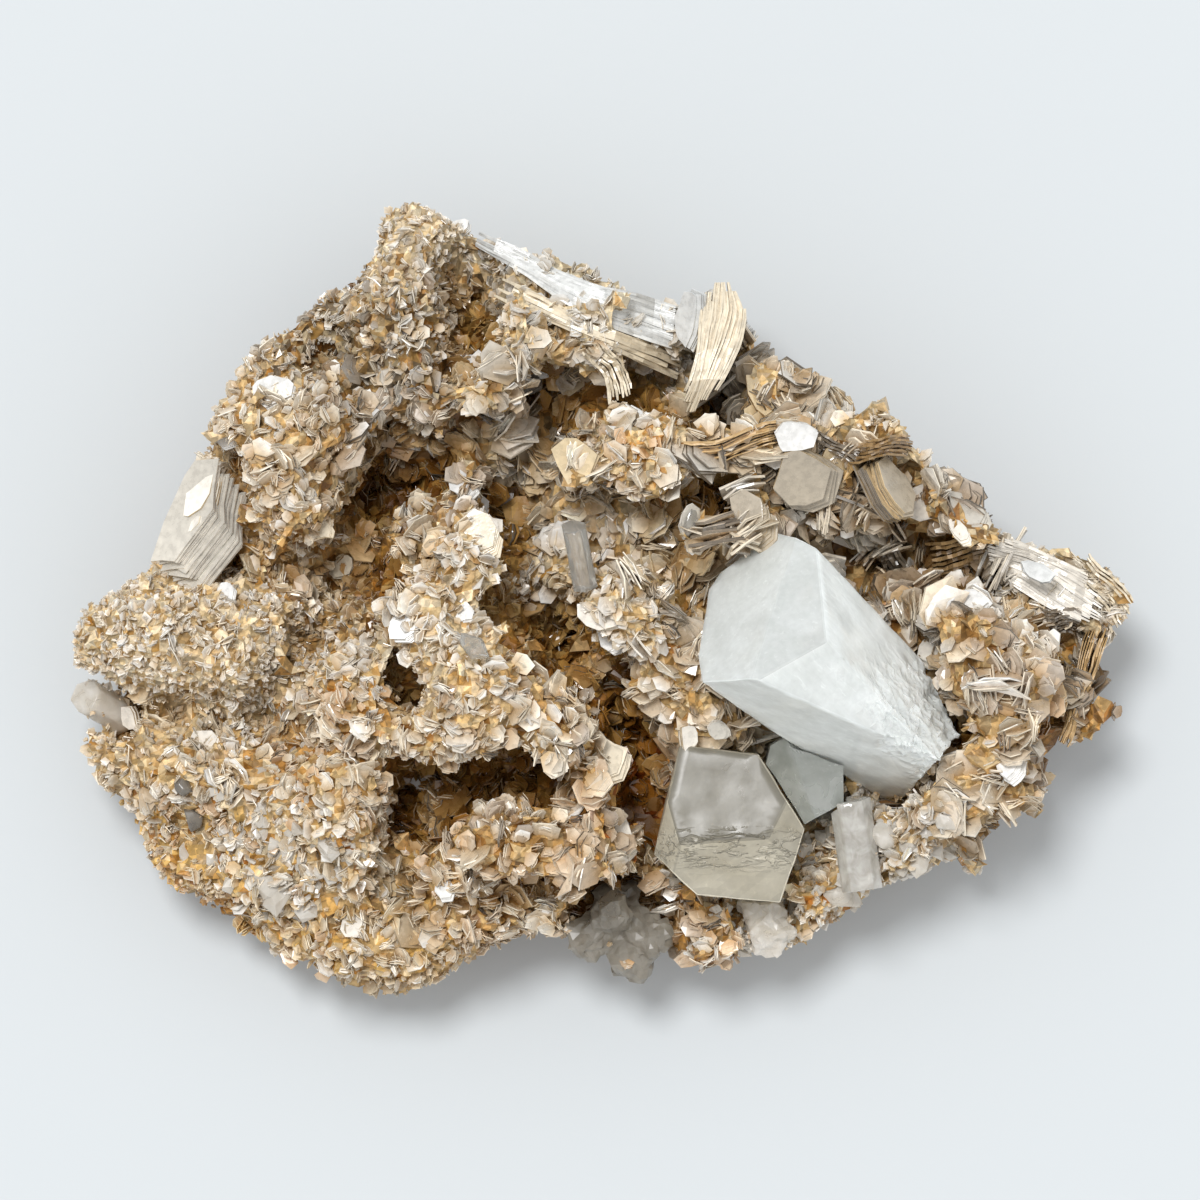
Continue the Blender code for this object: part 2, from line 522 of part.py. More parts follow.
def make_crest_sheet(stations, grow):
    """A tall sheet on edge, lofted through its stations."""
    bm = bmesh.new()
    rings = []
    for i, (x, y, half, top) in enumerate(stations):
        before, after = stations[max(i - 1, 0)], stations[min(i + 1, len(stations) - 1)]
        along = Vector((after[0] - before[0], after[1] - before[1], 0)).normalized()
        side = Vector((along.y, -along.x, 0))
        end = (i == len(stations) - 1) - (i == 0)
        middle = Vector((x, y, 0)) + along * grow * end
        half, top, bottom = half + grow, top + grow, CREST_BOTTOM - grow
        corners = [(-half, bottom), (half, bottom), (half, top - 0.9), (0.2 * half, top), (-half, top - 0.5)]
        rings.append([bm.verts.new((middle + side * out + Vector((0, 0, z))) * MM) for out, z in corners])
    for lower, upper in zip(rings, rings[1:]):
        for i in range(5):
            j = (i + 1) % 5
            bm.faces.new((lower[i], lower[j], upper[j], upper[i]))
    bm.faces.new(rings[0][::-1])
    bm.faces.new(rings[-1])
    bmesh.ops.recalc_face_normals(bm, faces=bm.faces)
    return bm


def scatter_plates(core):
    """Mica plates over what faces up, larger towards the right-hand end; half of them stand."""
    chance = random.Random(SEED)
    faces = [face for face in core.data.polygons if face.normal.z > 0.1]
    plates = []
    for face in chance.choices(faces, [face.area for face in faces], k=PLATE_COUNT):
        middle = face.center / MM
        normal = face.normal
        size = 2.5 + 1.7 * (middle.x + 70) / 140 + chance.uniform(-0.4, 0.7)
        bearing = chance.uniform(0, 360)
        standing = chance.random() < 0.5
        turn = chance.uniform(0, 60)
        if any((middle.xy - Vector(spot)).length < reach for spot, reach in BARE_SPOTS):
            continue
        if standing:
            frame = sheet_frame(bearing, chance.uniform(52, 80), turn)
            middle += normal * 0.25 * size
        else:
            lean = math.degrees(math.acos(normal.z)) + chance.uniform(-24, 24)
            frame = sheet_frame(math.degrees(math.atan2(normal.y, normal.x)), lean, turn)
            middle += normal * 0.4
        along, thick = size * chance.uniform(0.7, 1.0), chance.uniform(1.1, 1.7)
        plates.append(make_leaf(middle, frame, size, along, thick))
    return plates


# Crystals


def make_block(block, grow=0.0):
    """A crystal as the space inside all of its faces, grown by a clearance if asked."""
    rise, bearing = math.radians(block.rise), math.radians(block.bearing)
    axis = Vector((math.cos(rise) * math.cos(bearing), math.cos(rise) * math.sin(bearing), math.sin(rise)))
    side = Vector((math.sin(bearing), -math.cos(bearing), 0))
    front = side.cross(axis)
    middle = Vector(block.middle)
    planes = []
    for around, lean, distance in block.faces:
        around, lean = math.radians(around), math.radians(lean)
        across = side * math.sin(around) + front * math.cos(around)
        planes.append((across * math.cos(lean) + axis * math.sin(lean), distance))
    for bearing, distance in block.walls:
        bearing = math.radians(bearing)
        planes.append((Vector((math.cos(bearing), math.sin(bearing), 0)), distance))
    bm = bmesh.new()
    bmesh.ops.create_cube(bm, size=BLOCK_BLANK * MM, matrix=Matrix.Translation(middle * MM))
    for normal, distance in planes:
        cut_away(bm, (middle + normal * (distance + grow)) * MM, normal)
    return bm


# The assembly


def piece_solids(name, grow):
    """The solids that make one seated piece."""
    if name in BLOCKS:
        return [make_block(BLOCKS[name], grow)]
    if name in BOOKS:
        return make_book(name, BOOKS[name], grow)
    if name == "quartz_cluster":
        return [make_block(block, grow) for block in QUARTZ]
    return [make_crest_sheet(stations, grow) for stations in CREST]


def make_pieces(specimen, materials, sockets):
    """Every crystal and book, each clear of those before it, and the sockets that they need."""
    seats = new_collection("seats")
    for name, material in PIECES.items():
        solids = piece_solids(name, 0.0)
        piece = make_object(name, solids[0], specimen, materials[material])
        if solids[1:]:
            unite(piece, solids[1:])
        if seats.objects:
            boolean(piece, "DIFFERENCE", seats)
            keep_largest(piece)
        make_object(name + "_seat", hull(piece_solids(name, SOCKET_GAP), 0), seats)
        make_object(name + "_socket", hull(piece_solids(name, SOCKET_GAP), SOCKET_LIFT), sockets)
    discard(seats)


def place(collections):
    """Puts the middle of the base of the box at the origin, and each mesh about its own middle."""
    boxes = [[Vector(corner) for corner in obj.bound_box] for obj in collections[0].objects]
    low = Vector([min(corner[i] for box in boxes for corner in box) for i in range(3)])
    high = Vector([max(corner[i] for box in boxes for corner in box) for i in range(3)])
    shift = Vector((-(low.x + high.x) / 2, -(low.y + high.y) / 2, -low.z))
    for collection in collections:
        for obj in collection.objects:
            middle = sum((Vector(corner) for corner in obj.bound_box), Vector()) / 8
            obj.data.transform(Matrix.Translation(-middle))
            obj.location = middle + shift


def main():
    clear_scene()
    specimen = new_collection("aquamarine_on_albite")
    sockets = new_collection("cutters")
    materials = {name: make_material(name) for name in COLOURS}

    core = make_core(specimen, materials["mica"])
    unite(core, scatter_plates(core))
    unite(core, [leaf for seed, book in enumerate(FUSED_BOOKS) for leaf in make_book(seed, book)])
    make_pieces(specimen, materials, sockets)
    boolean(core, "DIFFERENCE", sockets)
    keep_largest(core)
    place([specimen, sockets])
    sockets.hide_render = True
    for cutter in sockets.objects:
        cutter.display_type = "WIRE"
        cutter.hide_render = True


main()
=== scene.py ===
"""The looks of the aquamarine specimen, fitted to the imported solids.

The matrix becomes brown rock under a crust of thin mica flakes that grow in fans and books. The
large mica books become piles of thin sheets, and the crystals get worn edges, growth lines and
veils. Metres, +Z up; sizes are given in millimetres and turned by MM. The seed is fixed.
"""

import math
from collections import namedtuple

import bmesh
import bpy
import numpy as np
from mathutils import Matrix, Vector, noise
from mathutils.bvhtree import BVHTree
from mathutils.kdtree import KDTree


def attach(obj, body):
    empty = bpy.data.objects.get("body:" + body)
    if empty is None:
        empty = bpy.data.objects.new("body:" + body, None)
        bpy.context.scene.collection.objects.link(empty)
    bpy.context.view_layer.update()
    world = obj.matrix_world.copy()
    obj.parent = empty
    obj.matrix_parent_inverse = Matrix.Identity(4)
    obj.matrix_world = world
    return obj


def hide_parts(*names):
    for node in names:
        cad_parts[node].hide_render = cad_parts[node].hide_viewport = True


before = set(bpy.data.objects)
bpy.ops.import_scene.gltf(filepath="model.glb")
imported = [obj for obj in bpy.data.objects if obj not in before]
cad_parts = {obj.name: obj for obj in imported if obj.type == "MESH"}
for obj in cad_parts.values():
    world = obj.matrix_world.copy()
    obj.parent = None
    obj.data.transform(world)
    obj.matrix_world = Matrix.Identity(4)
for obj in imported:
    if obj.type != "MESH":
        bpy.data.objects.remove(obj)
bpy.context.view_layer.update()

MM = 0.001
SEED = 7
VIEW_WIDTH = 156.0  # what the camera takes in at MIDDLE_HEIGHT
MIDDLE_HEIGHT = 20.0
CAMERA_HEIGHT = 1400.0
SUN_FROM = (-0.17, 0.32, 1.0)
SUN_POWER = 2.1
SUN_ANGLE = 16
SKY_POWER = 0.79
FLOOR_COLOUR = (200, 205, 208)

ROCK_VOXEL = 1.3
CRUST_DEPTH = 0.9  # how far the rock lies under the surface of the CAD solid
GRAIN = 0.3  # unevenness of the bare rock
FLAT_BASE = 1.2  # height under which it has none
ROCK_CELL = 0.8  # width of the smallest flakes, which are only in its material
ROCK_SHADE = np.array((0.78, 0.67, 0.48))  # colour of the rock against that of its flakes
LOWEST_CRUST = 1.5  # height under which nothing grows
OVERHANG = 0.3  # how far a surface may lean over and still have a crust
REGION_EDGE = 1.6  # how sharply a region gives way to the next
FAN_RATE = 1.5  # tries for a fan to each square millimetre of surface
CREVICE_WIDTH = 0.36  # width of the gaps between rosettes, against their span
CREVICE_DEPTH = 0.3  # their depth, against the same
CREVICE_SHRINK = 0.3  # how much smaller the flakes in them are
CREVICE_STAIN_AND_SHADE = 0.6  # how stained and darkened by painted shade those are, against the floor of a hollow
HEART_TRIES = 8000
HEART_GAP = 0.8  # least distance between the hearts of rosettes, against their span
OPEN_REACH = 0.6  # distance from its heart at which a rosette is wholly open, against its span
OPEN_TURN = 0.9  # how far its flakes have turned over there, in radians
HEART_COLOUR = 0.6  # share of fans that take the colour of their rosette
SIZE_SPREAD = 0.3  # how much the size of flakes varies
SIDE_SHRINK = 0.45  # how much smaller the flakes of a steep side are
SMALL_FLAKE = 0.8  # half width under which a flake has four sides and not six
THINNEST = 0.015
SINK = 0.1  # how far a flake may lie in a crystal or a book, against its half width
CLEAVAGE = 0.16  # mean width of the cleavage lines on the side of a stack
PAINTED_GLINTS = 0.08  # share of flakes painted nearly white as glints (painted highlights)
PAINTED_EDGE_GLOW = 0.8  # share of flakes whose edge is painted pale as a glow (painted light), fewer in hollows
HOLLOW_SPAN = 5  # reach of the blur that finds hollows
HOLLOW_DEPTH = 4.5  # depth at which a hollow is as stained and as darkened by painted shade as it gets
CROWN_HEIGHT = 3.0  # height at which the top of a lump is painted as light as it gets
CROWN_PAINTED_LIGHT = 0.4  # how light that painted light is
ABSORPTION = 20.0  # of light inside the crystals, to a metre
SPLINTER = 1.5  # width of the splinters on a broken root
FLAT_ANGLE = 2  # degrees: faces of a crystal that meet flatter than this become one
SHARP_ANGLE = 16  # degrees from which its edges stay sharp
SHORTEST_EDGE = 0.06
GROWTH_SPAN = 3.2  # width of the unevenness of its growth
WEAR_SPAN = 1.1  # width and depth of its wear
WEAR_DEPTH = 0.05
QUARTZ_VOXEL = 0.45
CRYSTAL_FACET = 1.6  # longest edge of the mesh of a crystal
BROKEN_FACET = 0.8  # the same on its broken root
CRYSTAL_SPLITS = 8
CRUSTED = ("main_aquamarine", "lower_aquamarine", "shaded_aquamarine", "lower_clear_prism",
           "middle_clear_prism", "edge_crystal", "quartz_point", "quartz_cluster")
FOOT_REACH = 1.7  # how near the rock a crystal is crusted
FOOT_RATE = 1.2  # how much denser that crust is
FOOT_SHRINK = 0.7  # size of its flakes against those around
DUST = {  # share of that crust on the rest of a piece
    "edge_crystal": 0.15, "quartz_cluster": 0.05,
}
GRAIN_RATE = 0.3  # quartz grains to each square millimetre where they grow
GRAIN_SIZE = 0.95  # their mean half width
DRAPE = 1.2  # the steepest drop that sheets on edge follow
DRAPE_PEAK = 5.0  # how far over the middle height of the rock under them they rise
RIM_HEIGHT = 25.0  # where the rim of the rock is looked for from outside it
RAY_TOP = 0.1  # metres: where the rock is looked for from
FAN_STEPS = 14  # corners along each sheet on edge
STACK_STEP = 1.15  # how far apart the flakes of a fan are, against their thickness
ROOT_PAINTED_SHADE = np.array((0.66, 0.5, 0.3))  # painted shade and glow: colour of a flake's root against that of its tip

SRGB = {
    "white": (252, 250, 246),
    "silver": (234, 233, 230),
    "pearl": (245, 238, 226),
    "cream": (238, 225, 200),
    "straw": (228, 207, 168),
    "tan": (212, 188, 148),
    "gold": (208, 174, 122),
    "brown": (160, 130, 88),
    "beige": (192, 180, 160),
    "grey": (206, 200, 188),
    "haze": (228, 229, 227),
    "yellow": (232, 202, 138),
    "smoke": (122, 110, 94),
    "ochre": (214, 170, 104),
    "rust": (170, 104, 44),
}


def linear(colour):
    """sRGB values from 0 to 255 as linear ones."""
    value = np.asarray(colour, float) / 255
    return np.where(value <= 0.04045, value / 12.92, ((value + 0.055) / 1.055) ** 2.4)


PALETTE = {name: linear(colour) for name, colour in SRGB.items()}

# How the mica grows: half width of a flake, flakes in a fan, how far a fan opens, fans to a square
# millimetre, how far the flakes lie flat, face away from the heart of a rosette, or stand anyhow,
# the thickness of a flake against its half width, the share of fans with dark edges, and how far
# apart the rosettes are.
Kind = namedtuple("Kind", "size pages spread dense flat rose stray thick dark span")
FINE = Kind(0.55, 4, 55, 1.15, 0.35, 0.3, 1.0, 0.1, 0.0, 3.2)
FLAT = Kind(0.82, 4, 45, 0.7, 0.35, 0.5, 0.9, 0.09, 0.0, 3.8)
GRAINS = Kind(0.75, 3, 50, 0.65, 0.3, 0.3, 0.9, 0.14, 0.0, 3.4)
TUFT = Kind(0.92, 6, 44, 0.6, 0.0, 0.9, 0.7, 0.09, 0.06, 4.4)
ROSETTE = Kind(1.25, 6, 40, 0.39, 0.0, 0.9, 0.6, 0.085, 0.1, 5.6)
LOOSE = Kind(1.7, 6, 34, 0.28, 0.0, 0.9, 0.6, 0.085, 0.15, 6.6)
COARSE = Kind(2.1, 7, 14, 0.17, 0.0, 0.5, 0.9, 0.1, 0.45, 7.0)

# Regions of the crust: x, y and reach, the kind of growth and four colours, the commonest first.
Region = namedtuple("Region", "x y reach kind colours")
REGIONS = [
    Region(-60, -4, 12, FINE, "pearl white cream straw"),
    Region(-48, -8, 9, FINE, "pearl cream white tan"),
    Region(-57, -22, 9, FLAT, "cream straw pearl tan"),
    Region(-41, -33, 9, GRAINS, "white pearl cream straw"),
    Region(-54, -35, 9, FINE, "yellow ochre straw yellow"),
    Region(-44, -42, 9, TUFT, "yellow ochre straw cream"),
    Region(-30, -46, 9, FLAT, "straw yellow cream tan"),
    Region(-12, -41, 9, TUFT, "gold straw tan cream"),
    Region(-34, -22, 9, TUFT, "straw gold ochre cream"),
    Region(-23, -5, 7, FLAT, "white pearl cream straw"),
    Region(-17, 3, 6, FLAT, "pearl white cream straw"),
    Region(-14, -13, 8, FLAT, "cream straw pearl gold"),
    Region(-5, -15, 7, ROSETTE, "straw tan gold brown"),
    Region(-27, 6, 7, TUFT, "tan straw brown gold"),
    Region(-14, -31, 9, ROSETTE, "gold tan straw brown"),
    Region(-3, -31, 7, ROSETTE, "tan gold straw brown"),
    Region(2, -3, 7, FLAT, "cream pearl white straw"),
    Region(10, -12, 8, LOOSE, "tan straw gold cream"),
    Region(-40, 15, 11, TUFT, "straw gold tan cream"),
    Region(-46, 24, 8, FLAT, "cream tan pearl straw"),
    Region(-37, 34, 8, FINE, "grey tan brown smoke"),
    Region(-25, 46, 8, FINE, "pearl cream grey white"),
    Region(-25, 34, 8, FLAT, "tan grey brown smoke"),
    Region(-26, 17, 9, ROSETTE, "brown tan grey brown"),
    Region(-12, 34, 7, FLAT, "pearl cream grey straw"),
    Region(-5, 42, 7, FLAT, "haze grey pearl haze"),
    Region(7, 37, 6, FLAT, "haze grey pearl haze"),
    Region(-8, 22, 9, LOOSE, "tan grey straw cream"),
    Region(6, 18, 7, FLAT, "cream straw pearl ochre"),
    Region(10, 8, 7, LOOSE, "straw tan grey cream"),
    Region(18, 14, 8, COARSE, "tan grey straw brown"),
    Region(28, 24, 8, COARSE, "cream grey tan straw"),
    Region(34, 12, 9, COARSE, "tan brown grey straw"),
    Region(37, 24, 6, FINE, "pearl grey cream white"),
    Region(44, 7, 9, COARSE, "brown tan gold beige"),
    Region(58, 3, 10, TUFT, "pearl grey cream white"),
    Region(50, -7, 8, LOOSE, "tan brown straw tan"),
    Region(55, -14, 7, LOOSE, "tan brown straw gold"),
    Region(61, -14, 6, COARSE, "tan ochre brown gold"),
    Region(48, -23, 8, LOOSE, "tan straw gold cream"),
    Region(38, -33, 7, GRAINS, "straw grey pearl tan"),
    Region(24, -40, 8, GRAINS, "pearl straw tan ochre"),
    Region(12, -45, 5, ROSETTE, "ochre brown gold tan"),
    Region(6, -24, 6, ROSETTE, "ochre rust gold ochre"),
]
COLOUR_SHARES = (0.36, 0.28, 0.2, 0.16)

# Pits of the rock: x, y, reach and depth.
PITS = [
    (-16.9, 34.2, 1.8, 4), (-16.2, 38.8, 1.0, 2.5), (-36.0, 31.5, 2.6, 3), (-33.0, 27.0, 2.6, 3),
    (-7.0, 35.1, 1.6, 3), (2.8, 28.0, 1.8, 3), (8.6, 28.6, 2.2, 4), (15.8, 24.7, 1.8, 3),
    (-31.0, 15.6, 2.8, 5), (-26.0, 14.6, 2.6, 5), (-29.7, 21.5, 2.2, 3), (-7.0, 26.6, 1.6, 3),
    (-10.0, 20.0, 1.8, 4), (-12.6, 13.5, 2.0, 4), (15.5, 12.3, 1.8, 4), (22.3, 18.2, 1.5, 3),
    (31.0, 11.0, 1.5, 3), (34.8, 13.0, 1.4, 3), (-46.0, 7.4, 2.8, 5), (-43.0, 5.8, 2.0, 3),
    (-34.9, 2.0, 2.0, 4), (-36.9, -3.9, 1.8, 4), (-29.7, -4.5, 1.6, 3), (-42.0, -8.5, 1.8, 3),
    (-56.0, -15.4, 1.4, 3), (-50.0, -15.6, 1.4, 3), (-44.0, -15.2, 1.4, 3), (-25.3, -13.7, 1.4, 3),
    (-23.2, 4.6, 1.5, 2.5), (-6.6, -1.0, 1.8, 3), (-3.6, -6.0, 1.8, 4), (0.4, -12.4, 2.0, 4),
    (4.6, -18.4, 2.0, 5), (6.4, -25.6, 1.8, 4), (-8.2, -22.8, 2.0, 3), (-25.6, -25.4, 1.8, 4),
    (-26.0, -31.0, 1.8, 4), (-24.0, -36.8, 1.6, 3), (37.9, 3.9, 2.2, 4), (45.0, 5.4, 2.2, 4),
    (49.6, 3.6, 2.0, 3), (0.2, 7.2, 1.6, 3), (58.7, -4.6, 1.4, 3), (48.3, -16.9, 1.8, 3.5),
    (52.8, -26.0, 1.4, 2), (27.4, -29.6, 2.0, 4), (8.0, -42.9, 1.6, 2.5), (37.2, -36.4, 1.6, 2.5),
]

# Floors of clefts that lie higher than in the CAD solid: x, y, reach and rise.
RISES = [
    (-20.0, -23.6, 2.4, 3.5), (-16.0, -23.6, 2.4, 4), (-12.0, -23.6, 2.4, 4), (-8.0, -24.0, 2.4, 3),
    (-25.4, -11.4, 1.6, 4), (5.6, -27.5, 2.0, 3), (5.8, -21.0, 2.0, 2), (3.0, 26.8, 2.0, 3),
    (9.4, 28.6, 2.0, 3), (-9.0, 21.0, 3.0, 3), (26.8, -31.0, 2.0, 3), (-17.6, 41.5, 2.2, 3.5),
    (-13.6, 37.5, 2.2, 3), (-13.0, 33.0, 2.0, 2.5), (8.6, -19.0, 2.2, 4), (7.4, -23.0, 2.2, 4),
]

# Piles of flat sheets: x, y, bearing and lean of their normal, turn, half widths, sheets, look,
# height of a step, slide of each sheet under the last, and height or None for on the rock.
Pile = namedtuple(
    "Pile", "x y bearing lean turn across along sheets look pitch slide z",
    defaults=[0.25, (0.05, -0.1), None],
)
BOOK_PILES = {
    "left_mica_book": [
        Pile(-53.4, 11.6, 155, 36, -28, 3.4, 7.6, 18, "grey", 0.3, (0.06, -0.02), z=26.2),
        Pile(-51.8, 14.2, 150, 42, -24, 2.0, 4.6, 6, "pale", 0.28, (0.1, -0.04), z=26.7),
    ],
    "white_mica_book": [
        Pile(25.6, 15.8, -70, 24, 15, 3.7, 4.6, 12, "beige", 0.42, (0.05, -0.06), z=37.0),
        Pile(24.9, 21.1, -60, 10, 12, 3.0, 2.0, 4, "white", 0.32, (0.0, 0.0), z=39.0),
    ],
    "dark_edged_mica_book": [
        Pile(36.4, 13.6, 31, 74, 31, 3.6, 4.9, 6, "dark", 0.24, (0.0, 0.02), z=33.4),
        Pile(38.2, 14.6, 31, 58, 31, 3.6, 4.4, 10, "beige", 0.26, (0.04, 0.0), z=33.2),
    ],
}
LOOSE_PILES = [
    Pile(0.7, -20.4, 60, 18, 25, 2.5, 3.2, 6, "cream", 0.3, (0.05, -0.05)),
    Pile(-3.4, 18.0, 250, 14, 6, 2.8, 3.3, 3, "dull", 0.3, (0.05, -0.05)),
    Pile(-42.3, 26.8, 120, 20, 10, 3.0, 2.2, 4, "white", 0.25, (0.05, -0.05)),
    Pile(-39.2, 25.7, 120, 12, 0, 1.5, 1.4, 2, "brown", 0.3, (0.0, 0.0)),
    Pile(-17.8, 14.9, 130, 26, 40, 1.5, 2.3, 4, "white"),
    Pile(-15.9, 12.2, 100, 20, -30, 1.5, 2.2, 4, "white"),
    Pile(-15.9, 8.8, 120, 16, 10, 2.6, 2.9, 6, "cream", 0.3),
    Pile(4.4, 23.4, 100, 20, 15, 1.4, 1.6, 4, "white"),
    Pile(1.6, 21.6, 120, 20, 60, 0.9, 1.2, 3, "white"),
    Pile(-3.6, 36.0, 140, 20, 30, 1.5, 1.9, 3, "white"),
    Pile(-7.7, 38.6, 100, 26, 0, 0.9, 1.7, 3, "white"),
    Pile(-7.7, 30.3, 150, 20, 30, 1.8, 1.6, 3, "white", 0.3),
    Pile(-16.7, 30.8, 60, 26, 70, 1.1, 1.8, 3, "white"),
    Pile(-24.8, 20.8, 60, 30, 60, 0.9, 1.7, 3, "white"),
    Pile(-30.0, 23.8, 120, 30, -60, 0.8, 1.8, 3, "white"),
    Pile(-48.0, 20.8, 140, 26, 20, 1.5, 1.3, 3, "white"),
    Pile(-36.2, 9.1, 100, 24, 80, 1.5, 1.9, 3, "cream"),
    Pile(-33.4, 4.6, 220, 26, -50, 1.3, 2.0, 3, "cream"),
    Pile(-48.4, 0.9, 140, 20, 20, 1.4, 1.6, 3, "white"),
    Pile(-51.3, -18.3, 160, 24, -20, 2.4, 2.0, 3, "pearl"),
    Pile(-17.6, -1.4, 130, 16, 10, 1.5, 1.6, 4, "white", 0.3),
    Pile(-25.4, -3.4, 120, 16, 40, 2.2, 1.7, 5, "white", 0.3),
    Pile(-0.4, -2.0, 130, 22, 70, 1.7, 3.4, 4, "pearl", 0.3),
    Pile(4.8, 4.8, 110, 20, -20, 1.7, 1.4, 4, "white"),
    Pile(1.3, -5.0, 120, 24, 30, 1.3, 2.0, 4, "white"),
    Pile(2.9, -30.4, 60, 30, 10, 1.7, 3.0, 5, "pearl", 0.3),
    Pile(-20.2, -37.2, 140, 26, 20, 1.3, 1.6, 3, "white"),
    Pile(-22.9, -23.4, 130, 20, 10, 1.9, 1.6, 4, "white"),
    Pile(-32.2, -42.2, 140, 22, 50, 1.8, 2.0, 3, "pearl"),
    Pile(47.8, -0.2, 120, 22, 70, 1.3, 2.2, 4, "white"),
    Pile(46.3, 9.0, 90, 30, 30, 1.1, 2.3, 4, "pearl"),
    Pile(43.0, -6.2, 200, 24, -30, 1.9, 2.6, 5, "pearl", 0.3),
    Pile(52.3, -20.5, 130, 22, 20, 2.0, 2.5, 5, "white", 0.3),
    Pile(30.8, 25.4, 120, 22, 60, 1.6, 2.0, 4, "grey", 0.3),
    Pile(21.0, 26.2, 50, 44, 20, 2.4, 3.2, 6, "dull", 0.3),
    Pile(19.0, 10.9, 150, 24, 20, 2.5, 3.0, 8, "beige", 0.3),
    Pile(30.4, 17.2, 340, 30, 20, 2.2, 3.2, 8, "dull", 0.3),
    Pile(11.6, 10.4, 320, 40, 0, 1.6, 2.6, 4, "grey"),
    Pile(41.6, 12.6, 330, 34, 60, 2.4, 3.6, 8, "pale", 0.3),
    Pile(33.4, 8.6, 290, 26, 80, 2.2, 4.2, 8, "pale", 0.3),
    Pile(47.4, 11.8, 70, 40, 20, 2.4, 3.4, 4, "grey", 0.3, z=26.4),
    Pile(-18.7, 48.6, 100, 24, 20, 1.8, 1.1, 4, "white", 0.3),
    Pile(11.2, 36.4, 200, 36, -12, 1.9, 4.6, 4, "haze", 0.3, (0.1, 0.0), z=31.2),
    Pile(5.4, 36.4, 80, 34, 70, 1.6, 3.6, 5, "haze", 0.25, (0.1, 0.0)),
    Pile(-52.6, 9.8, 155, 44, -50, 0.9, 1.5, 3, "pearl", 0.22, (0.1, -0.05), z=27.6),
    Pile(-61.4, -15.2, 200, 34, 20, 1.2, 1.8, 4, "pale", 0.25, (0.1, -0.05), z=15.2),
    Pile(56.4, 3.6, 66, 30, 62, 1.5, 2.9, 4, "haze", 0.25, (0.1, 0.0), z=28.6),
    Pile(11.4, -17.6, 330, 34, 10, 1.5, 2.1, 6, "pale", z=33.6),
    Pile(15.2, -16.8, 300, 24, 50, 1.2, 1.7, 4, "grey", z=34.2),
]

# Sheets that stand on edge: the runs of the first and the last top edge (x, y and height over the
# rock, or for the crest over the base), their count, how deep they reach, how ragged they are, their
# look, whether they touch, and how much shorter the outer ones are.
Fan = namedtuple("Fan", "first last sheets depth ragged look closed rounded", defaults=[False, 0])
CREST_FAN = Fan(
    [(9.4, 24.4, 33.6), (11.2, 28.6, 36.0), (12.3, 32.5, 35.4), (13.0, 36.8, 33.0), (13.6, 41.0, 29.4)],
    [(13.8, 24.2, 33.6), (16.1, 28.6, 35.8), (17.9, 33.2, 34.8), (18.8, 37.3, 32.2), (17.6, 41.0, 29.4)],
    44, 14.0, 0.12, "crest", True, 2.6,
)
END_FAN = Fan(
    [(50.2, 9.0, 1.2), (55.0, 7.8, 2.0), (60.0, 5.0, 2.4), (66.0, 1.6, 1.4)],
    [(50.6, 3.2, 1.2), (55.0, 1.2, 1.8), (60.0, -1.6, 2.0), (64.4, -4.2, 1.4)],
    44, 3.4, 0.12, "ridge", True, 2.6,
)
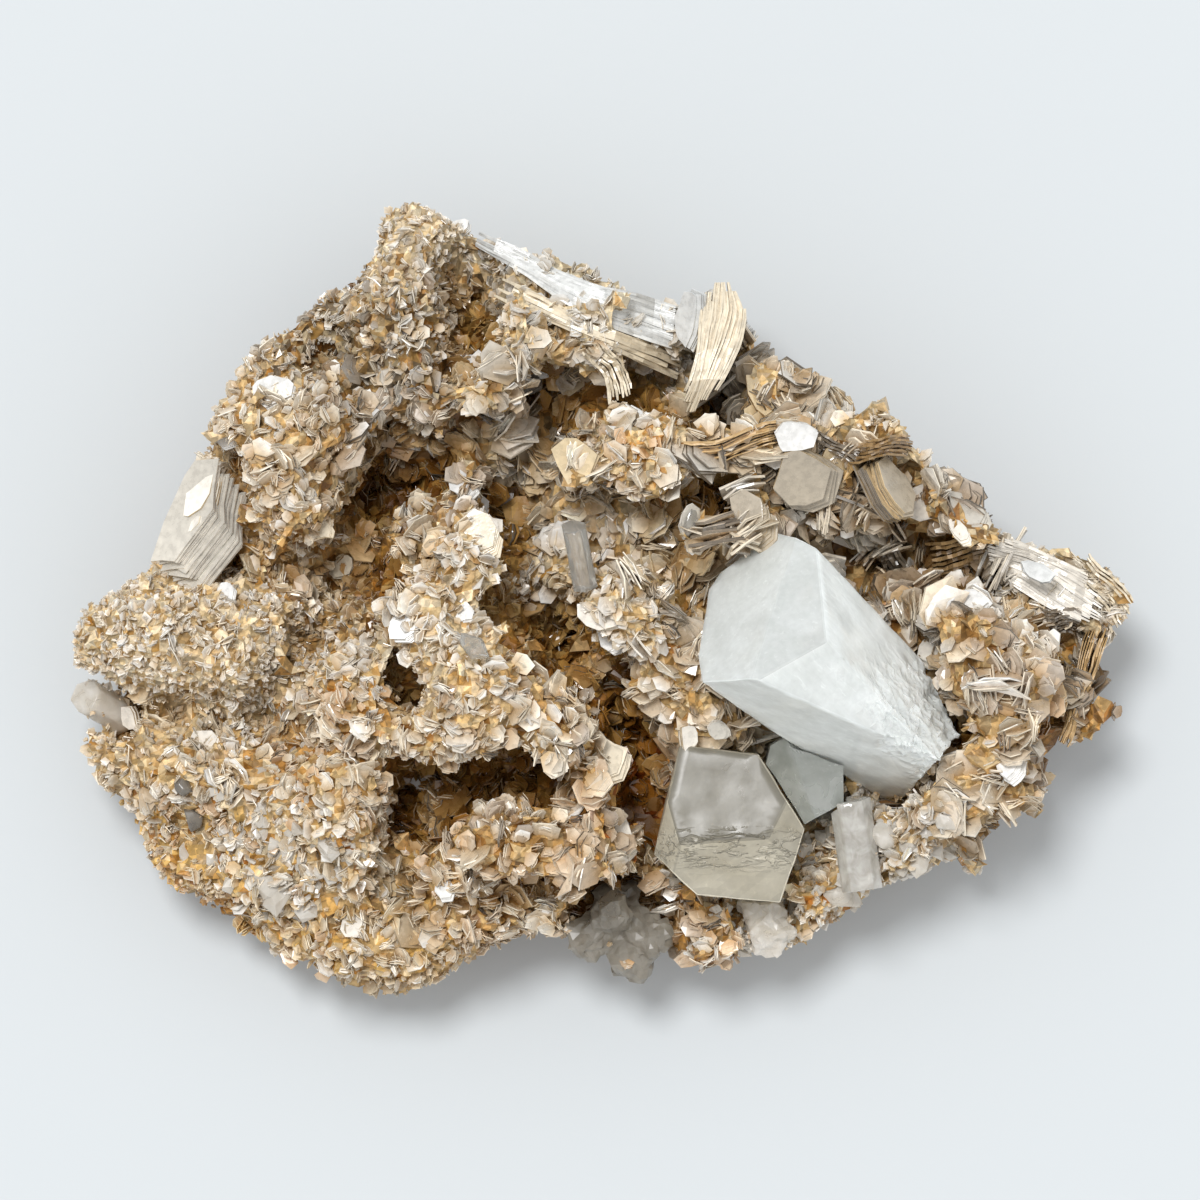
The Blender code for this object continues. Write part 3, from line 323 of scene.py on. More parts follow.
FANS = {
    "stained_sheets": Fan(
        [(10.6, 20.4, 2.2), (15.0, 20.8, 2.6), (19.6, 22.4, 2.6), (23.6, 23.0, 1.6)],
        [(11.4, 17.6, 1.6), (15.6, 17.8, 2.0), (20.0, 19.0, 2.0), (23.2, 20.2, 1.2)],
        10, 3.0, 0.3, "stained",
    ),
    "upper_right_sheets": Fan(
        [(33.6, 20.6, 2.0), (37.0, 21.4, 2.4), (40.4, 20.8, 1.6)],
        [(32.0, 17.8, 1.6), (36.0, 18.4, 2.0), (40.0, 18.2, 1.2)],
        9, 2.6, 0.4, "dull",
    ),
    "dark_sheets": Fan(
        [(27.6, 22.4, 1.6), (31.0, 20.4, 2.2), (33.6, 18.4, 1.2)],
        [(26.8, 20.6, 1.4), (30.0, 18.8, 1.8), (32.4, 16.8, 1.2)],
        6, 2.6, 0.2, "dark",
    ),
    "hollow_blades": Fan(
        [(42.2, 7.6, 1.6), (46.4, 8.4, 2.4), (50.6, 8.6, 1.4)],
        [(42.8, 2.6, 1.4), (47.0, 3.4, 2.2), (51.4, 4.6, 1.2)],
        8, 3.4, 0.5, "dull",
    ),
    "crossed_blades": Fan(
        [(38.2, 8.8, 1.6), (39.6, 5.6, 2.4), (41.4, 2.4, 1.4)],
        [(36.2, 7.6, 1.4), (36.8, 4.8, 2.2), (37.6, 2.0, 1.2)],
        6, 3.4, 0.3, "dark",
    ),
    "haze_slope": Fan(
        [(-15.6, 47.8, 0.8), (-9.6, 45.5, 0.8), (-5.0, 42.8, 0.8), (0.2, 40.5, 0.8),
         (5.4, 39.2, 0.8), (12.4, 36.8, 0.4)],
        [(-16.2, 45.8, 1.0), (-10.4, 42.2, 1.4), (-5.2, 38.4, 1.4), (0.0, 35.8, 1.4),
         (5.2, 34.2, 1.4), (12.0, 32.0, 0.6)],
        30, 3.6, 0.1, "haze", True,
    ),
    "end_splay": Fan(
        [(63.4, 6.0, 0.6), (66.6, 3.4, 0.8), (69.4, -0.8, 0.2)],
        [(62.8, 1.8, 1.6), (64.6, -1.0, 1.4), (66.4, -4.4, 0.8)],
        11, 4.0, 0.5, "crest",
    ),
    "end_side": Fan(
        [(66.6, -3.6, 0.4), (65.0, -9.0, 0.2), (62.2, -15.0, 0.2), (60.4, -19.0, 0.0)],
        [(63.4, -4.2, 1.4), (62.0, -9.6, 1.2), (60.4, -14.6, 1.0), (59.4, -18.2, 0.6)],
        10, 5.0, 0.4, "stained",
    ),
    "end_grey_sheets": Fan(
        [(57.0, -0.8, 2.0), (60.0, -0.6, 2.2), (62.4, -1.4, 1.6)],
        [(57.6, -4.6, 1.4), (60.0, -4.4, 1.6), (62.0, -4.8, 1.2)],
        10, 3.0, 0.2, "dark",
    ),
    "slope_blades": Fan(
        [(0.2, 33.6, 1.6), (3.0, 31.0, 2.2), (4.0, 26.6, 1.8)],
        [(-2.2, 32.0, 1.6), (0.0, 29.4, 2.0), (0.8, 25.0, 1.6)],
        9, 3.0, 0.4, "crest",
    ),
    "slope_edge": Fan(
        [(-12.6, 41.6, 1.2), (-7.0, 39.4, 1.4), (-1.0, 35.8, 1.4), (5.6, 33.2, 1.2), (10.6, 31.4, 1.0)],
        [(-13.6, 39.6, 1.4), (-8.0, 36.8, 1.6), (-1.6, 33.4, 1.6), (5.0, 30.4, 1.4), (10.0, 28.6, 1.2)],
        12, 2.6, 0.4, "crest", True,
    ),
}

# The colours of a sheet's flat and of its edge.
LOOKS = {
    # white: pale cleaved plates whose white also stands in for their highlights (painted highlight)
    "white": ("silver", "pearl"),
    "pearl": ("pearl", "cream"),
    "cream": ("cream", "straw"),
    "pale": ("pearl", "tan"),
    "dull": ("straw", "brown"),
    "beige": ("beige", "tan"),
    "grey": ("grey", "pearl"),
    "brown": ("brown", "tan"),
    "dark": ("tan", "smoke"),
    "haze": ("haze", "haze"),
    "crest": ("straw", "cream"),
    "ridge": ("grey", "pearl"),
    "stained": ("gold", "gold"),
}

# How a crystal looks: its paler and its darker colour, how clear and how rough it is, the span of
# its veils, the bearing and rise of its axis, and how much its colour is painted paler on faces
# that look away from the light and darker on faces towards it (painted light and shade).
Look = namedtuple("Look", "pale dim clear rough veil bearing rise even")
AQUAMARINE = Look((244, 248, 247), (231, 235, 233), 0.34, 0.05, 5.0, 134, 35, (1.36, 0.88))
BEIGE = Look((210, 203, 184), (193, 185, 164), 0.32, 0.26, 6.0, 90, 80, (1.75, 0.39))
SHADED = Look((196, 199, 194), (166, 170, 163), 0.4, 0.18, 4.0, 90, 80, (1.1, 0.88))
CLEAR = Look((236, 234, 228), (214, 211, 203), 0.8, 0.08, 3.0, 101, 24, (1.0, 1.0))
GLASSY = Look((242, 240, 235), (206, 202, 193), 0.5, 0.05, 2.0, -82, -9, (1.1, 0.95))
MILKY = Look((236, 231, 222), (212, 204, 190), 0.25, 0.25, 3.0, 90, 45, (1.1, 0.88))
GREY = Look((184, 177, 164), (148, 140, 126), 0.5, 0.26, 3.0, 90, 45, (1.1, 0.88))
SMOKY = Look((160, 154, 144), (126, 119, 110), 0.4, 0.2, 3.0, 90, 45, (1.0, 0.9))

# Small quartz and albite blocks: x, y, half width, half length, turn and look.
Block = namedtuple("Block", "x y size long turn look")
BLOCKS = {
    "centre_quartz": Block(-16.2, -6.0, 1.7, 3.0, 48, "clear"),
    "grey_quartz": Block(-9.2, 28.3, 2.3, 2.0, 20, "smoky"),
    "left_quartz": Block(-53.2, -28.5, 1.9, 1.9, 0, "smoky"),
    "left_small_quartz": Block(-54.0, -24.2, 1.3, 1.5, 30, "smoky"),
    "upper_quartz": Block(16.4, 25.2, 2.0, 2.6, 70, "clear"),
    "tiny_quartz": Block(11.6, 10.2, 1.1, 2.2, -8, "clear"),
    "root_quartz": Block(41.0, -20.0, 1.6, 1.7, 0, "milky"),
    "lower_quartz": Block(36.6, -30.6, 2.0, 2.2, 40, "milky"),
    "corner_quartz": Block(44.6, -28.8, 1.8, 2.0, 10, "milky"),
    "edge_quartz": Block(31.6, -38.8, 2.4, 3.2, 60, "milky"),
}


# Reading the rock


def unit(vectors):
    return vectors / np.maximum(np.linalg.norm(vectors, axis=-1, keepdims=True), 1e-9)


def read(items, key, kind=float):
    """Three numbers of each of many mesh elements, as the rows of an array."""
    flat = np.empty(len(items) * 3, np.float32 if kind is float else np.int32)
    items.foreach_get(key, flat)
    return flat.reshape(-1, 3).astype(kind)


def move_vertices(mesh, places):
    mesh.vertices.foreach_set("co", np.ascontiguousarray(places, np.float32).ravel())
    mesh.update()


class Relief:
    """The height of the rock on a grid of one millimetre, and how hollow it is there."""

    HALF = 80

    def __init__(self, points):
        size = 2 * self.HALF
        column, row = self.cell(points)
        top = np.zeros((size, size))
        np.maximum.at(top, (column, row), points[:, 2] / MM)
        mean = top
        for axis in (0, 1):
            padded = np.concatenate([mean] * 3, axis)
            kernel = np.ones(2 * HOLLOW_SPAN + 1) / (2 * HOLLOW_SPAN + 1)
            blurred = np.apply_along_axis(np.convolve, axis, padded, kernel, "same")
            mean = np.take(blurred, range(size, 2 * size), axis)
        self.mean = mean

    def cell(self, points):
        place = np.clip(np.rint(points[:, :2] / MM + self.HALF).astype(int), 0, 2 * self.HALF - 1)
        return place[:, 0], place[:, 1]

    def hollow(self, points):
        below = self.mean[self.cell(points)] - points[:, 2] / MM
        return np.clip(below / HOLLOW_DEPTH, 0, 1)

    # Painted light: how far a point rises over its surroundings, for the paler painted tops of lumps.
    def painted_crown_light(self, points):
        above = points[:, 2] / MM - self.mean[self.cell(points)]
        return np.clip(above / CROWN_HEIGHT, 0, 1)


def region_shares(points):
    """How strongly each region claims each point."""
    places = np.array([(r.x, r.y) for r in REGIONS])
    reach = np.array([r.reach for r in REGIONS])
    gap = np.linalg.norm(points[:, None, :2] / MM - places[None], axis=2)
    weights = np.exp(-((gap / reach) ** 2) * REGION_EDGE) + 1e-6
    return weights / weights.sum(1, keepdims=True)


def pick_regions(points, chance):
    return (region_shares(points).cumsum(1) > chance.random((len(points), 1))).argmax(1)


def pick_colours(regions, chance):
    """A colour from the palette of each point's region."""
    palette = np.array([[PALETTE[name] for name in r.colours.split()] for r in REGIONS])
    shade = palette[regions, chance.choice(4, len(regions), p=COLOUR_SHARES)]
    return shade * chance.lognormal(0, 0.08, (len(regions), 1))


def stain_and_shade_hollows(tint, hollow):
    """Colours stained brown and darkened towards the floor of a hollow: a real stain and painted shade."""
    # brown stain and painted shade together in one factor
    stain_and_shade = np.array((0.62, 0.43, 0.18))
    return tint * (1 - hollow[:, None] ** 1.3 * (1 - stain_and_shade))


class Hearts:
    """The middles of the rosettes that the mica grows in, each with its span and colour."""

    def __init__(self, places, chance):
        places = places[chance.permutation(len(places))[:HEART_TRIES]]
        pick = pick_regions(places, chance)
        spans = np.array([REGIONS[i].kind.span for i in pick]) * chance.uniform(0.8, 1.2, len(pick))
        kept = []
        for i, place in enumerate(places):
            gap = np.linalg.norm(places[kept] - place, axis=1) if kept else np.array([1.0])
            if gap.min() > HEART_GAP * spans[i] * MM:
                kept.append(i)
        self.places, self.spans = places[kept], spans[kept]
        self.colours = pick_colours(pick[kept], chance) * chance.lognormal(0, 0.08, (len(kept), 1))
        self.tree = KDTree(len(kept))
        for i, place in enumerate(self.places):
            self.tree.insert(place, i)
        self.tree.balance()

    def nearest(self, points):
        """The nearest heart to each point, the way from it, and how deep in a crevice the point is."""
        found = [self.tree.find_n(point, 2) for point in points]
        heart = np.array([pair[0][1] for pair in found])
        gap = np.array([pair[1][2] - pair[0][2] for pair in found]) / MM
        crevice = np.clip(1 - gap / (CREVICE_WIDTH * self.spans[heart]), 0, 1) ** 2
        return heart, points - self.places[heart], crevice


# Meshes from arrays


def fast_mesh(name, verts, loops, starts, corner_colours, layers, material):
    """A mesh object from flat arrays, with a colour and a depth in its stack for each face corner."""
    mesh = bpy.data.meshes.new(name)
    mesh.vertices.add(len(verts))
    mesh.vertices.foreach_set("co", np.ascontiguousarray(verts, np.float32).ravel())
    mesh.loops.add(len(loops))
    mesh.loops.foreach_set("vertex_index", np.ascontiguousarray(loops, np.int32))
    mesh.polygons.add(len(starts))
    mesh.polygons.foreach_set("loop_start", np.ascontiguousarray(starts, np.int32))
    mesh.update(calc_edges=True)
    mesh.shade_flat()
    set_tint(mesh, corner_colours, layers)
    mesh.materials.append(material)
    return add_object(name, mesh)


def set_tint(mesh, corner_colours, layers=0.0):
    tint = mesh.color_attributes.new("tint", "FLOAT_COLOR", "CORNER")
    rgba = np.empty((len(corner_colours), 4), np.float32)
    rgba[:, :3] = np.clip(corner_colours, 0, 0.95)
    rgba[:, 3] = layers
    tint.data.foreach_set("color", rgba.ravel())


def add_object(name, mesh):
    made = bpy.data.objects.new(name, mesh)
    bpy.context.scene.collection.objects.link(made)
    return made


def settle(piece, slot, *nodes):
    """Says what a piece rides on and hides the CAD nodes that it stands for; its slot is not used."""
    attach(piece, "root")
    if nodes:
        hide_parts(*nodes)


def prism_pattern(sides):
    """Corner order and sizes of the faces of a plate: top, bottom and walls."""
    top = np.arange(sides)
    after = (top + 1) % sides
    walls = np.stack([top, top + sides, after + sides, after], -1).ravel()
    return np.concatenate([top, top[::-1] + sides, walls]), np.array([sides, sides] + [4] * sides)


def plates_mesh(name, outline, half, flat_tint, edge_tint, material):
    """Closed thin plates, each a ring of corners above and the same ring below."""
    count, sides = outline.shape[:2]
    verts = np.stack([outline + half[:, None], outline - half[:, None]], 1)
    pattern, sizes = prism_pattern(sides)
    loops = (pattern[None] + np.arange(count)[:, None] * sides * 2).ravel()
    totals = np.tile(sizes, count)
    starts = np.concatenate([[0], np.cumsum(totals)[:-1]])
    ring, walls = pattern % sides, np.arange(len(pattern)) >= 2 * sides
    colours = np.where(walls[:, None], edge_tint[:, ring], flat_tint[:, ring]).reshape(-1, 3)
    thick = 2 * np.linalg.norm(half, axis=1)[:, None] / MM
    layers = np.where(walls, np.where(pattern < sides, thick, 0.02), 0).ravel()
    return fast_mesh(name, verts.reshape(-1, 3), loops, starts, colours, layers, material)


# Flakes


def samples(rock, rate, chance):
    """Points spread evenly over what can be seen of the rock, with their normals."""
    mesh = rock.data
    mesh.calc_loop_triangles()
    corners = read(mesh.loop_triangles, "vertices", int)
    tri = read(mesh.vertices, "co")[corners]
    cross = np.cross(tri[:, 1] - tri[:, 0], tri[:, 2] - tri[:, 0])
    area = np.linalg.norm(cross, axis=1)
    up = cross[:, 2] / np.maximum(area, 1e-12)
    weight = area / 2 * np.clip((up + OVERHANG) / (1 - OVERHANG), 0.0, 1)
    weight[tri[:, :, 2].mean(1) < LOWEST_CRUST * MM] = 0
    count = int(weight.sum() / MM**2 * rate)
    chosen = chance.choice(len(tri), count, p=weight / weight.sum())
    mix = chance.dirichlet((1, 1, 1), count)[..., None]
    smooth = read(mesh.vertices, "normal")[corners[chosen]]
    return (tri[chosen] * mix).sum(1), unit((smooth * mix).sum(1))


def fan_stance(normals, way, spans, kinds, chance):
    """What the flakes of each fan face, and where the fan points."""
    flat, rose, loose = (column[:, None] for column in (kinds.flat, kinds.rose, kinds.stray))
    away = way - normals * (way * normals).sum(1, keepdims=True)
    opening = np.clip(np.linalg.norm(away, axis=1) / (OPEN_REACH * spans * MM), 0, 1.2)[:, None]
    away = unit(away)
    stray = chance.normal(size=normals.shape)
    stray -= 0.75 * normals * (stray * normals).sum(1, keepdims=True)
    petal = away * np.cos(OPEN_TURN * opening) - normals * np.sin(OPEN_TURN * opening)
    facing = unit(normals * flat + petal * rose + stray * loose)
    out = normals + 0.8 * away * opening * rose + 0.35 * chance.normal(size=normals.shape)
    return facing, out


def grow_fans(points, normals, relief, hearts, chance, shrink=1.0):
    """Fans of flakes: pages about a common hinge, from closed books to open rosettes."""
    pick = pick_regions(points, chance)
    table = np.array([r.kind for r in REGIONS], float)
    keep = chance.random(len(points)) < Kind(*table[pick].T).dense / FAN_RATE
    points, normals, pick = points[keep], normals[keep], pick[keep]
    kinds = Kind(*table[pick].T)
    heart, way, crevice = hearts.nearest(points)
    count = len(points)
    steep = 1 - np.clip(normals[:, 2], 0, 1)
    size = kinds.size * chance.lognormal(0, SIZE_SPREAD, count) * (1 - SIDE_SHRINK * steep) * MM
    size *= (1 - CREVICE_SHRINK * crevice) * shrink
    pages = np.maximum(1, chance.poisson(kinds.pages))
    facing, out = fan_stance(normals, way, hearts.spans[heart], kinds, chance)
    # flakes in hollows and crevices get a brown stain and painted shade
    hollow = np.maximum(relief.hollow(points), CREVICE_STAIN_AND_SHADE * crevice)
    shade = pick_colours(pick, chance)
    shade = np.where(chance.random((count, 1)) < HEART_COLOUR, hearts.colours[heart], shade)
    # painted light: the tops of lumps are painted paler, towards white
    painted_crown_light = CROWN_PAINTED_LIGHT * relief.painted_crown_light(points)[:, None]
    shade = stain_and_shade_hollows(shade * (1 - painted_crown_light) + PALETTE["white"] * painted_crown_light, hollow)
    return open_pages(points, (facing, out), kinds, size, pages, shade, hollow, chance)


def open_pages(points, stance, kinds, size, pages, shade, hollow, chance):
    """The flakes of each fan, leafed open about its lead."""
    facing, out = stance
    count = len(points)
    owner = np.repeat(np.arange(count), pages)
    first = np.repeat(pages.cumsum() - pages, pages)
    total = len(owner)
    page = (np.arange(total) - first + 0.5) / pages[owner] - 0.5
    lead = unit(out - facing * (out * facing).sum(1, keepdims=True))[owner]
    spread = np.radians(kinds.spread[owner])
    angle = (page * spread + chance.normal(0, 0.2, total) * spread)[:, None]
    normal = facing[owner] * np.cos(angle) + lead * np.sin(angle)
    normal = unit(normal + chance.normal(0, 0.1, normal.shape))
    along = unit(lead - normal * (lead * normal).sum(1, keepdims=True))
    half = size[owner] * chance.uniform(0.6, 1.15, total)
    thick = half * kinds.thick[owner] * chance.uniform(0.7, 1.4, total) + THINNEST * MM
    step = page * pages[owner] * STACK_STEP + chance.normal(0, 0.25, total)
    reach = (half * chance.uniform(0.1, 0.6, total))[:, None]
    tint = shade[owner] * chance.lognormal(-0.12, 0.12, (total, 1))
    # painted highlights: some flakes out of the hollows are painted nearly white
    painted_glint = (chance.random((total, 1)) < PAINTED_GLINTS) & (hollow[owner, None] < 0.4)
    tint = np.where(painted_glint, PALETTE["white"], tint)
    rim = tint * chance.uniform(0.7, 1.0, (total, 1))
    # painted light: pale glowing edges, fewer where the hollows are in shade
    glowing_edge = chance.random((total, 1)) < PAINTED_EDGE_GLOW * (1 - 0.8 * hollow[owner, None])
    rim = np.where(glowing_edge, 0.5 * tint + 0.5 * PALETTE["cream"], rim)
    dark = (chance.random(count) < kinds.dark)[owner, None]
    return {
        "middle": points[owner] + along * reach + (step * thick)[:, None] * normal,
        "normal": normal,
        "across": np.cross(along, normal),
        "along": along,
        "size": half,
        "thick": thick,
        "tint": tint,
        "edge": np.where(dark, PALETTE["smoke"] * chance.uniform(0.5, 1.2, (total, 1)), rim),
    }


def flake_object(name, flakes, chosen, sides, material, chance):
    """One piece of the crust from the chosen flakes."""
    part = {key: value[chosen] for key, value in flakes.items()}
    count = len(part["size"])
    step = np.arange(sides) * 2 * math.pi / sides
    angle = step[None] + chance.uniform(-0.22, 0.22, (count, sides)) + chance.uniform(0, 6.3, (count, 1))
    reach = part["size"][:, None] * chance.uniform(0.84, 1.1, (count, sides))
    aspect = chance.uniform(0.65, 1.5, (count, 1))
    x, y = reach * np.cos(angle) * aspect, reach * np.sin(angle)
    bend = chance.normal(0.1, 0.14, (count, 1)) * x**2 / part["size"][:, None]
    ring = x[..., None] * part["across"][:, None] + y[..., None] * part["along"][:, None]
    outline = ring + part["middle"][:, None] + bend[..., None] * part["normal"][:, None]
    half = part["normal"] * part["thick"][:, None] / 2
    # painted shade and glow: each flake darkens and browns from its tip to its root, its edge less so
    tip = np.clip(0.5 + 0.55 * y / part["size"][:, None], 0, 1)[..., None]
    root_shade_and_tip_glow = ROOT_PAINTED_SHADE * (1 - tip) + tip
    flat, edge = part["tint"][:, None] * root_shade_and_tip_glow, part["edge"][:, None] * np.sqrt(root_shade_and_tip_glow)
    return plates_mesh(name, outline, half, flat, edge, material)


def hull_planes(node):
    """The planes of a CAD node's convex hull: normals and distances."""
    bm = bmesh.new()
    bm.from_mesh(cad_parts[node].data)
    found = bmesh.ops.convex_hull(bm, input=bm.verts)
    spare = {item for item in found["geom_interior"] + found["geom_unused"]}
    bmesh.ops.delete(bm, geom=[v for v in spare if isinstance(v, bmesh.types.BMVert)], context="VERTS")
    faces = [f for f in bm.faces if f.calc_area() > 1e-9]
    normals = np.array([f.normal for f in faces])
    distances = np.array([f.normal.dot(f.verts[0].co) for f in faces])
    bm.free()
    return normals, distances


def clear_of_pieces(flakes, planes):
    """Which flakes stay out of the seated crystals and books, but for SINK of their size."""
    keep = np.ones(len(flakes["size"]), bool)
    for normals, distances in planes:
        depth = (flakes["middle"] @ normals.T - distances).max(1)
        keep &= depth > flakes["size"] * -SINK
    return keep


# Materials


class Nodes:
    """A material being wired up."""

    def __init__(self, name):
        self.material = bpy.data.materials.new(name)
        self.material.use_nodes = True
        self.tree = self.material.node_tree
        self.shader = self.tree.nodes["Principled BSDF"]

    def add(self, kind, inputs=None, **settings):
        node = self.tree.nodes.new(kind)
        for key, value in settings.items():
            setattr(node, key, value)
        for key, value in (inputs or {}).items():
            self.feed(node.inputs[key], value)
        return node

    def feed(self, socket, value):
        """Links a socket to another or gives it a value."""
        if isinstance(value, bpy.types.NodeSocket):
            self.tree.links.new(value, socket)
        else:
            socket.default_value = value

    def place(self):
        return self.add("ShaderNodeTexCoord").outputs["Object"]

    def noise(self, place, span, detail=3, twist=0.0):
        """Noise whose lumps are about span millimetres wide."""
        inputs = {"Vector": place, "Scale": 1 / (span * MM), "Detail": detail, "Distortion": twist}
        return self.add("ShaderNodeTexNoise", inputs).outputs["Fac"]

    def spread(self, value, low, high, start=0.3, end=0.7):
        """The middle part of a noise stretched over a range."""
        inputs = {"Value": value, "From Min": start, "From Max": end, "To Min": low, "To Max": high}
        return self.add("ShaderNodeMapRange", inputs).outputs["Result"]

    def calc(self, operation, *values):
        return self.add("ShaderNodeMath", dict(enumerate(values)), operation=operation).outputs["Value"]

    def dot(self, place, way):
        node = self.add("ShaderNodeVectorMath", {0: place, 1: way}, operation="DOT_PRODUCT")
        return node.outputs["Value"]

    def cells(self, place, span, output):
        """Irregular cells about span millimetres wide."""
        inputs = {"Vector": place, "Scale": 1 / (span * MM)}
        return self.add("ShaderNodeTexVoronoi", inputs).outputs[output]

    def cleavage(self, place, layer):
        """Light and dark lines across the depth of a stack; the flats, of depth 0, have none."""
        slow = self.dot(place, (0.4 / MM, 0.3 / MM, 0.25 / MM))
        across = self.calc("MULTIPLY_ADD", layer, 1 / CLEAVAGE, slow)
        inputs = {"W": across, "Scale": 1, "Detail": 1}
        line = self.add("ShaderNodeTexNoise", inputs, noise_dimensions="1D").outputs["Fac"]
        change = self.spread(line, -0.55, 0.2, 0.36, 0.62)
        inside = self.calc("MINIMUM", self.calc("MULTIPLY", layer, 20), 1)
        return self.calc("MULTIPLY_ADD", change, inside, 1)

    def painted_face_light(self, low, high):
        """Painted light and shade: lightens faces turned away from the sun and darkens faces turned to it,
        for the light cloudy crystal passes on.
        """
        normal = self.add("ShaderNodeNewGeometry").outputs["True Normal"]
        return self.spread(self.dot(normal, Vector(SUN_FROM).normalized()), low, high, 0.35, 0.95)

    def frost(self, place, root):
        """1 on the broken root of a crystal and 0 on its faces."""
        along = self.dot(place, (root.x / MM, root.y / MM, 0))
        across = self.dot(place, (-root.y / MM, root.x / MM, 0))
        patchy = self.calc("MULTIPLY_ADD", self.noise(place, 3, 3), 8, along)
        broken = self.spread(patchy, 0, 1, root.start + 3, root.full + 2)
        return self.calc("MULTIPLY", broken, self.spread(across, 0, 1, root.side, root.side + 1.5))

    def ridged(self, place, middle, reach):
        """A band across Y, 1 in its middle, and the curved ridges of a shell-like break."""
        y = self.add("ShaderNodeSeparateXYZ", {"Vector": place}).outputs["Y"]
        gap = self.calc("ABSOLUTE", self.calc("SUBTRACT", y, middle * MM))
        inputs = {"Vector": place, "Scale": (0.35, 1, 1)}
        wide = self.add("ShaderNodeMapping", inputs, vector_type="POINT").outputs["Vector"]
        crest = self.spread(self.noise(wide, 0.9, 3, 1.2), 0, 1, 0.5, 0.66)
        return self.spread(gap, 1, 0, 0.2 * reach * MM, reach * MM), crest

    def scaled(self, colour, factor):
        node = self.add("ShaderNodeVectorMath", {0: colour, "Scale": factor}, operation="SCALE")
        return node.outputs["Vector"]

    def mixed(self, factor, low, high):
        node = self.add("ShaderNodeMix", data_type="RGBA")
        for key, value in {"Factor": factor, "A": (*low, 1), "B": (*high, 1)}.items():
            self.feed(next(s for s in node.inputs if s.name == key and s.enabled), value)
        return next(s for s in node.outputs if s.enabled)

    def bump(self, height, strength, distance, under=None):
        inputs = {"Height": height, "Strength": strength, "Distance": distance * MM}
        if under:
            inputs["Normal"] = under
        return self.add("ShaderNodeBump", inputs).outputs["Normal"]

    def set(self, **values):
        for key, value in values.items():
            self.feed(self.shader.inputs[key.replace("_", " ")], value)
        return self


def mica_material(name, roughness, bumpy):
    """Mica tinted by the flakes' colours and painted light and shade, with faint clouds and fine cleavage
    steps.
    """
    made = Nodes(name)
    made.set(Specular_IOR_Level=0.7)
    tint = made.add("ShaderNodeAttribute", attribute_name="tint")
    place = made.place()
    cloud = made.noise(place, 1.0)
    gloss = made.spread(cloud, roughness - 0.06, roughness + 0.14)
    if bumpy:
        made.set(Normal=made.bump(made.noise(place, 0.35, 2), 0.35, 0.1))
    shade = made.calc("MULTIPLY", made.spread(cloud, 0.84, 1.1), made.cleavage(place, tint.outputs["Alpha"]))
    made.set(Base_Color=made.scaled(tint.outputs["Color"], shade), Roughness=gloss)
    return made.set(IOR=1.58).material


def rock_material():
    made = Nodes("matrix_rock")
    tint = made.add("ShaderNodeAttribute", attribute_name="tint").outputs["Color"]
    place = made.place()
    fine = made.noise(place, 0.7, 5)
    cells = made.cells(place, ROCK_CELL, "Color")
    bump = made.bump(cells, 0.8, 0.3, made.bump(fine, 0.5, 0.3))
    shade = made.calc("MULTIPLY", made.spread(fine, 0.75, 1.2), made.spread(cells, 0.6, 1.3, 0.2, 0.8))
    made.set(Base_Color=made.scaled(tint, shade), Roughness=0.4)
    return made.set(Normal=bump).material


def crystal_material(name, look, root=None, ridges=None):
    """Clear to cloudy crystal: veils and hairs along its axis, a frosted root and a ridged band,
    with painted highlights on the band's crests and painted light and shade on the faces.
    """
    made = Nodes(name)
    place = made.place()
    turn = (0, -math.radians(look.rise), math.radians(look.bearing))
    inputs = {"Vector": place, "Rotation": turn, "Scale": (5, 1, 1)}
    along = made.add("ShaderNodeMapping", inputs, vector_type="TEXTURE").outputs["Vector"]
    veil = made.noise(place, look.veil, 6, 0.8)
    grain = made.noise(along, 0.9, 4)
    hairs = made.spread(made.noise(along, 0.5, 5, 0.6), 0, 1, 0.61, 0.7)
    fine = made.noise(place, 0.6, 4)
    colour = made.mixed(made.spread(veil, 0, 1, 0.35, 0.65), linear(look.dim), linear(look.pale))
    shade = made.calc("MULTIPLY", made.spread(grain, 0.94, 1.03), made.spread(fine, 0.97, 1.02))
    shade = made.calc("MULTIPLY_ADD", hairs, 0.12, shade)
    # painted light and shade: colour lightened on faces away from the sun, darkened on faces towards it
    shade = made.calc("MULTIPLY", shade, made.painted_face_light(*look.even))
    bump = made.bump(grain, 0.12, 0.08)
    bump = made.bump(fine, 0.06, 0.06, bump)
    gloss = made.spread(veil, look.rough, look.rough + 0.15)
    if root:
        frost = made.frost(place, root)
        cells = made.cells(along, SPLINTER, "Distance")
        bump = made.bump(made.calc("MULTIPLY", cells, frost), 1.0, 0.45, bump)
        gloss = made.calc("MULTIPLY_ADD", frost, 0.12, gloss)
        paler = made.calc("SUBTRACT", cells, 0.2)
        shade = made.calc("MULTIPLY_ADD", paler, made.calc("MULTIPLY", frost, 0.3), shade)
    if ridges:
        band, crest = made.ridged(place, *ridges)
        bump = made.bump(made.calc("MULTIPLY", crest, band), 1.0, 0.5, bump)
        # painted highlight: the crests of the ridges are painted paler
        shade = made.calc("MULTIPLY_ADD", made.calc("MULTIPLY", crest, band), 0.35, shade)
    made.set(Base_Color=made.scaled(colour, shade), Roughness=gloss, Transmission_Weight=look.clear)
    inside = made.add("ShaderNodeVolumeAbsorption", {"Color": (*linear(look.dim), 1), "Density": ABSORPTION})
    made.tree.links.new(inside.outputs["Volume"], made.tree.nodes["Material Output"].inputs["Volume"])
    return made.set(Normal=bump, IOR=1.55).material


# The rock


def copy_node(node, name):
    return add_object(name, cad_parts[node].data.copy())


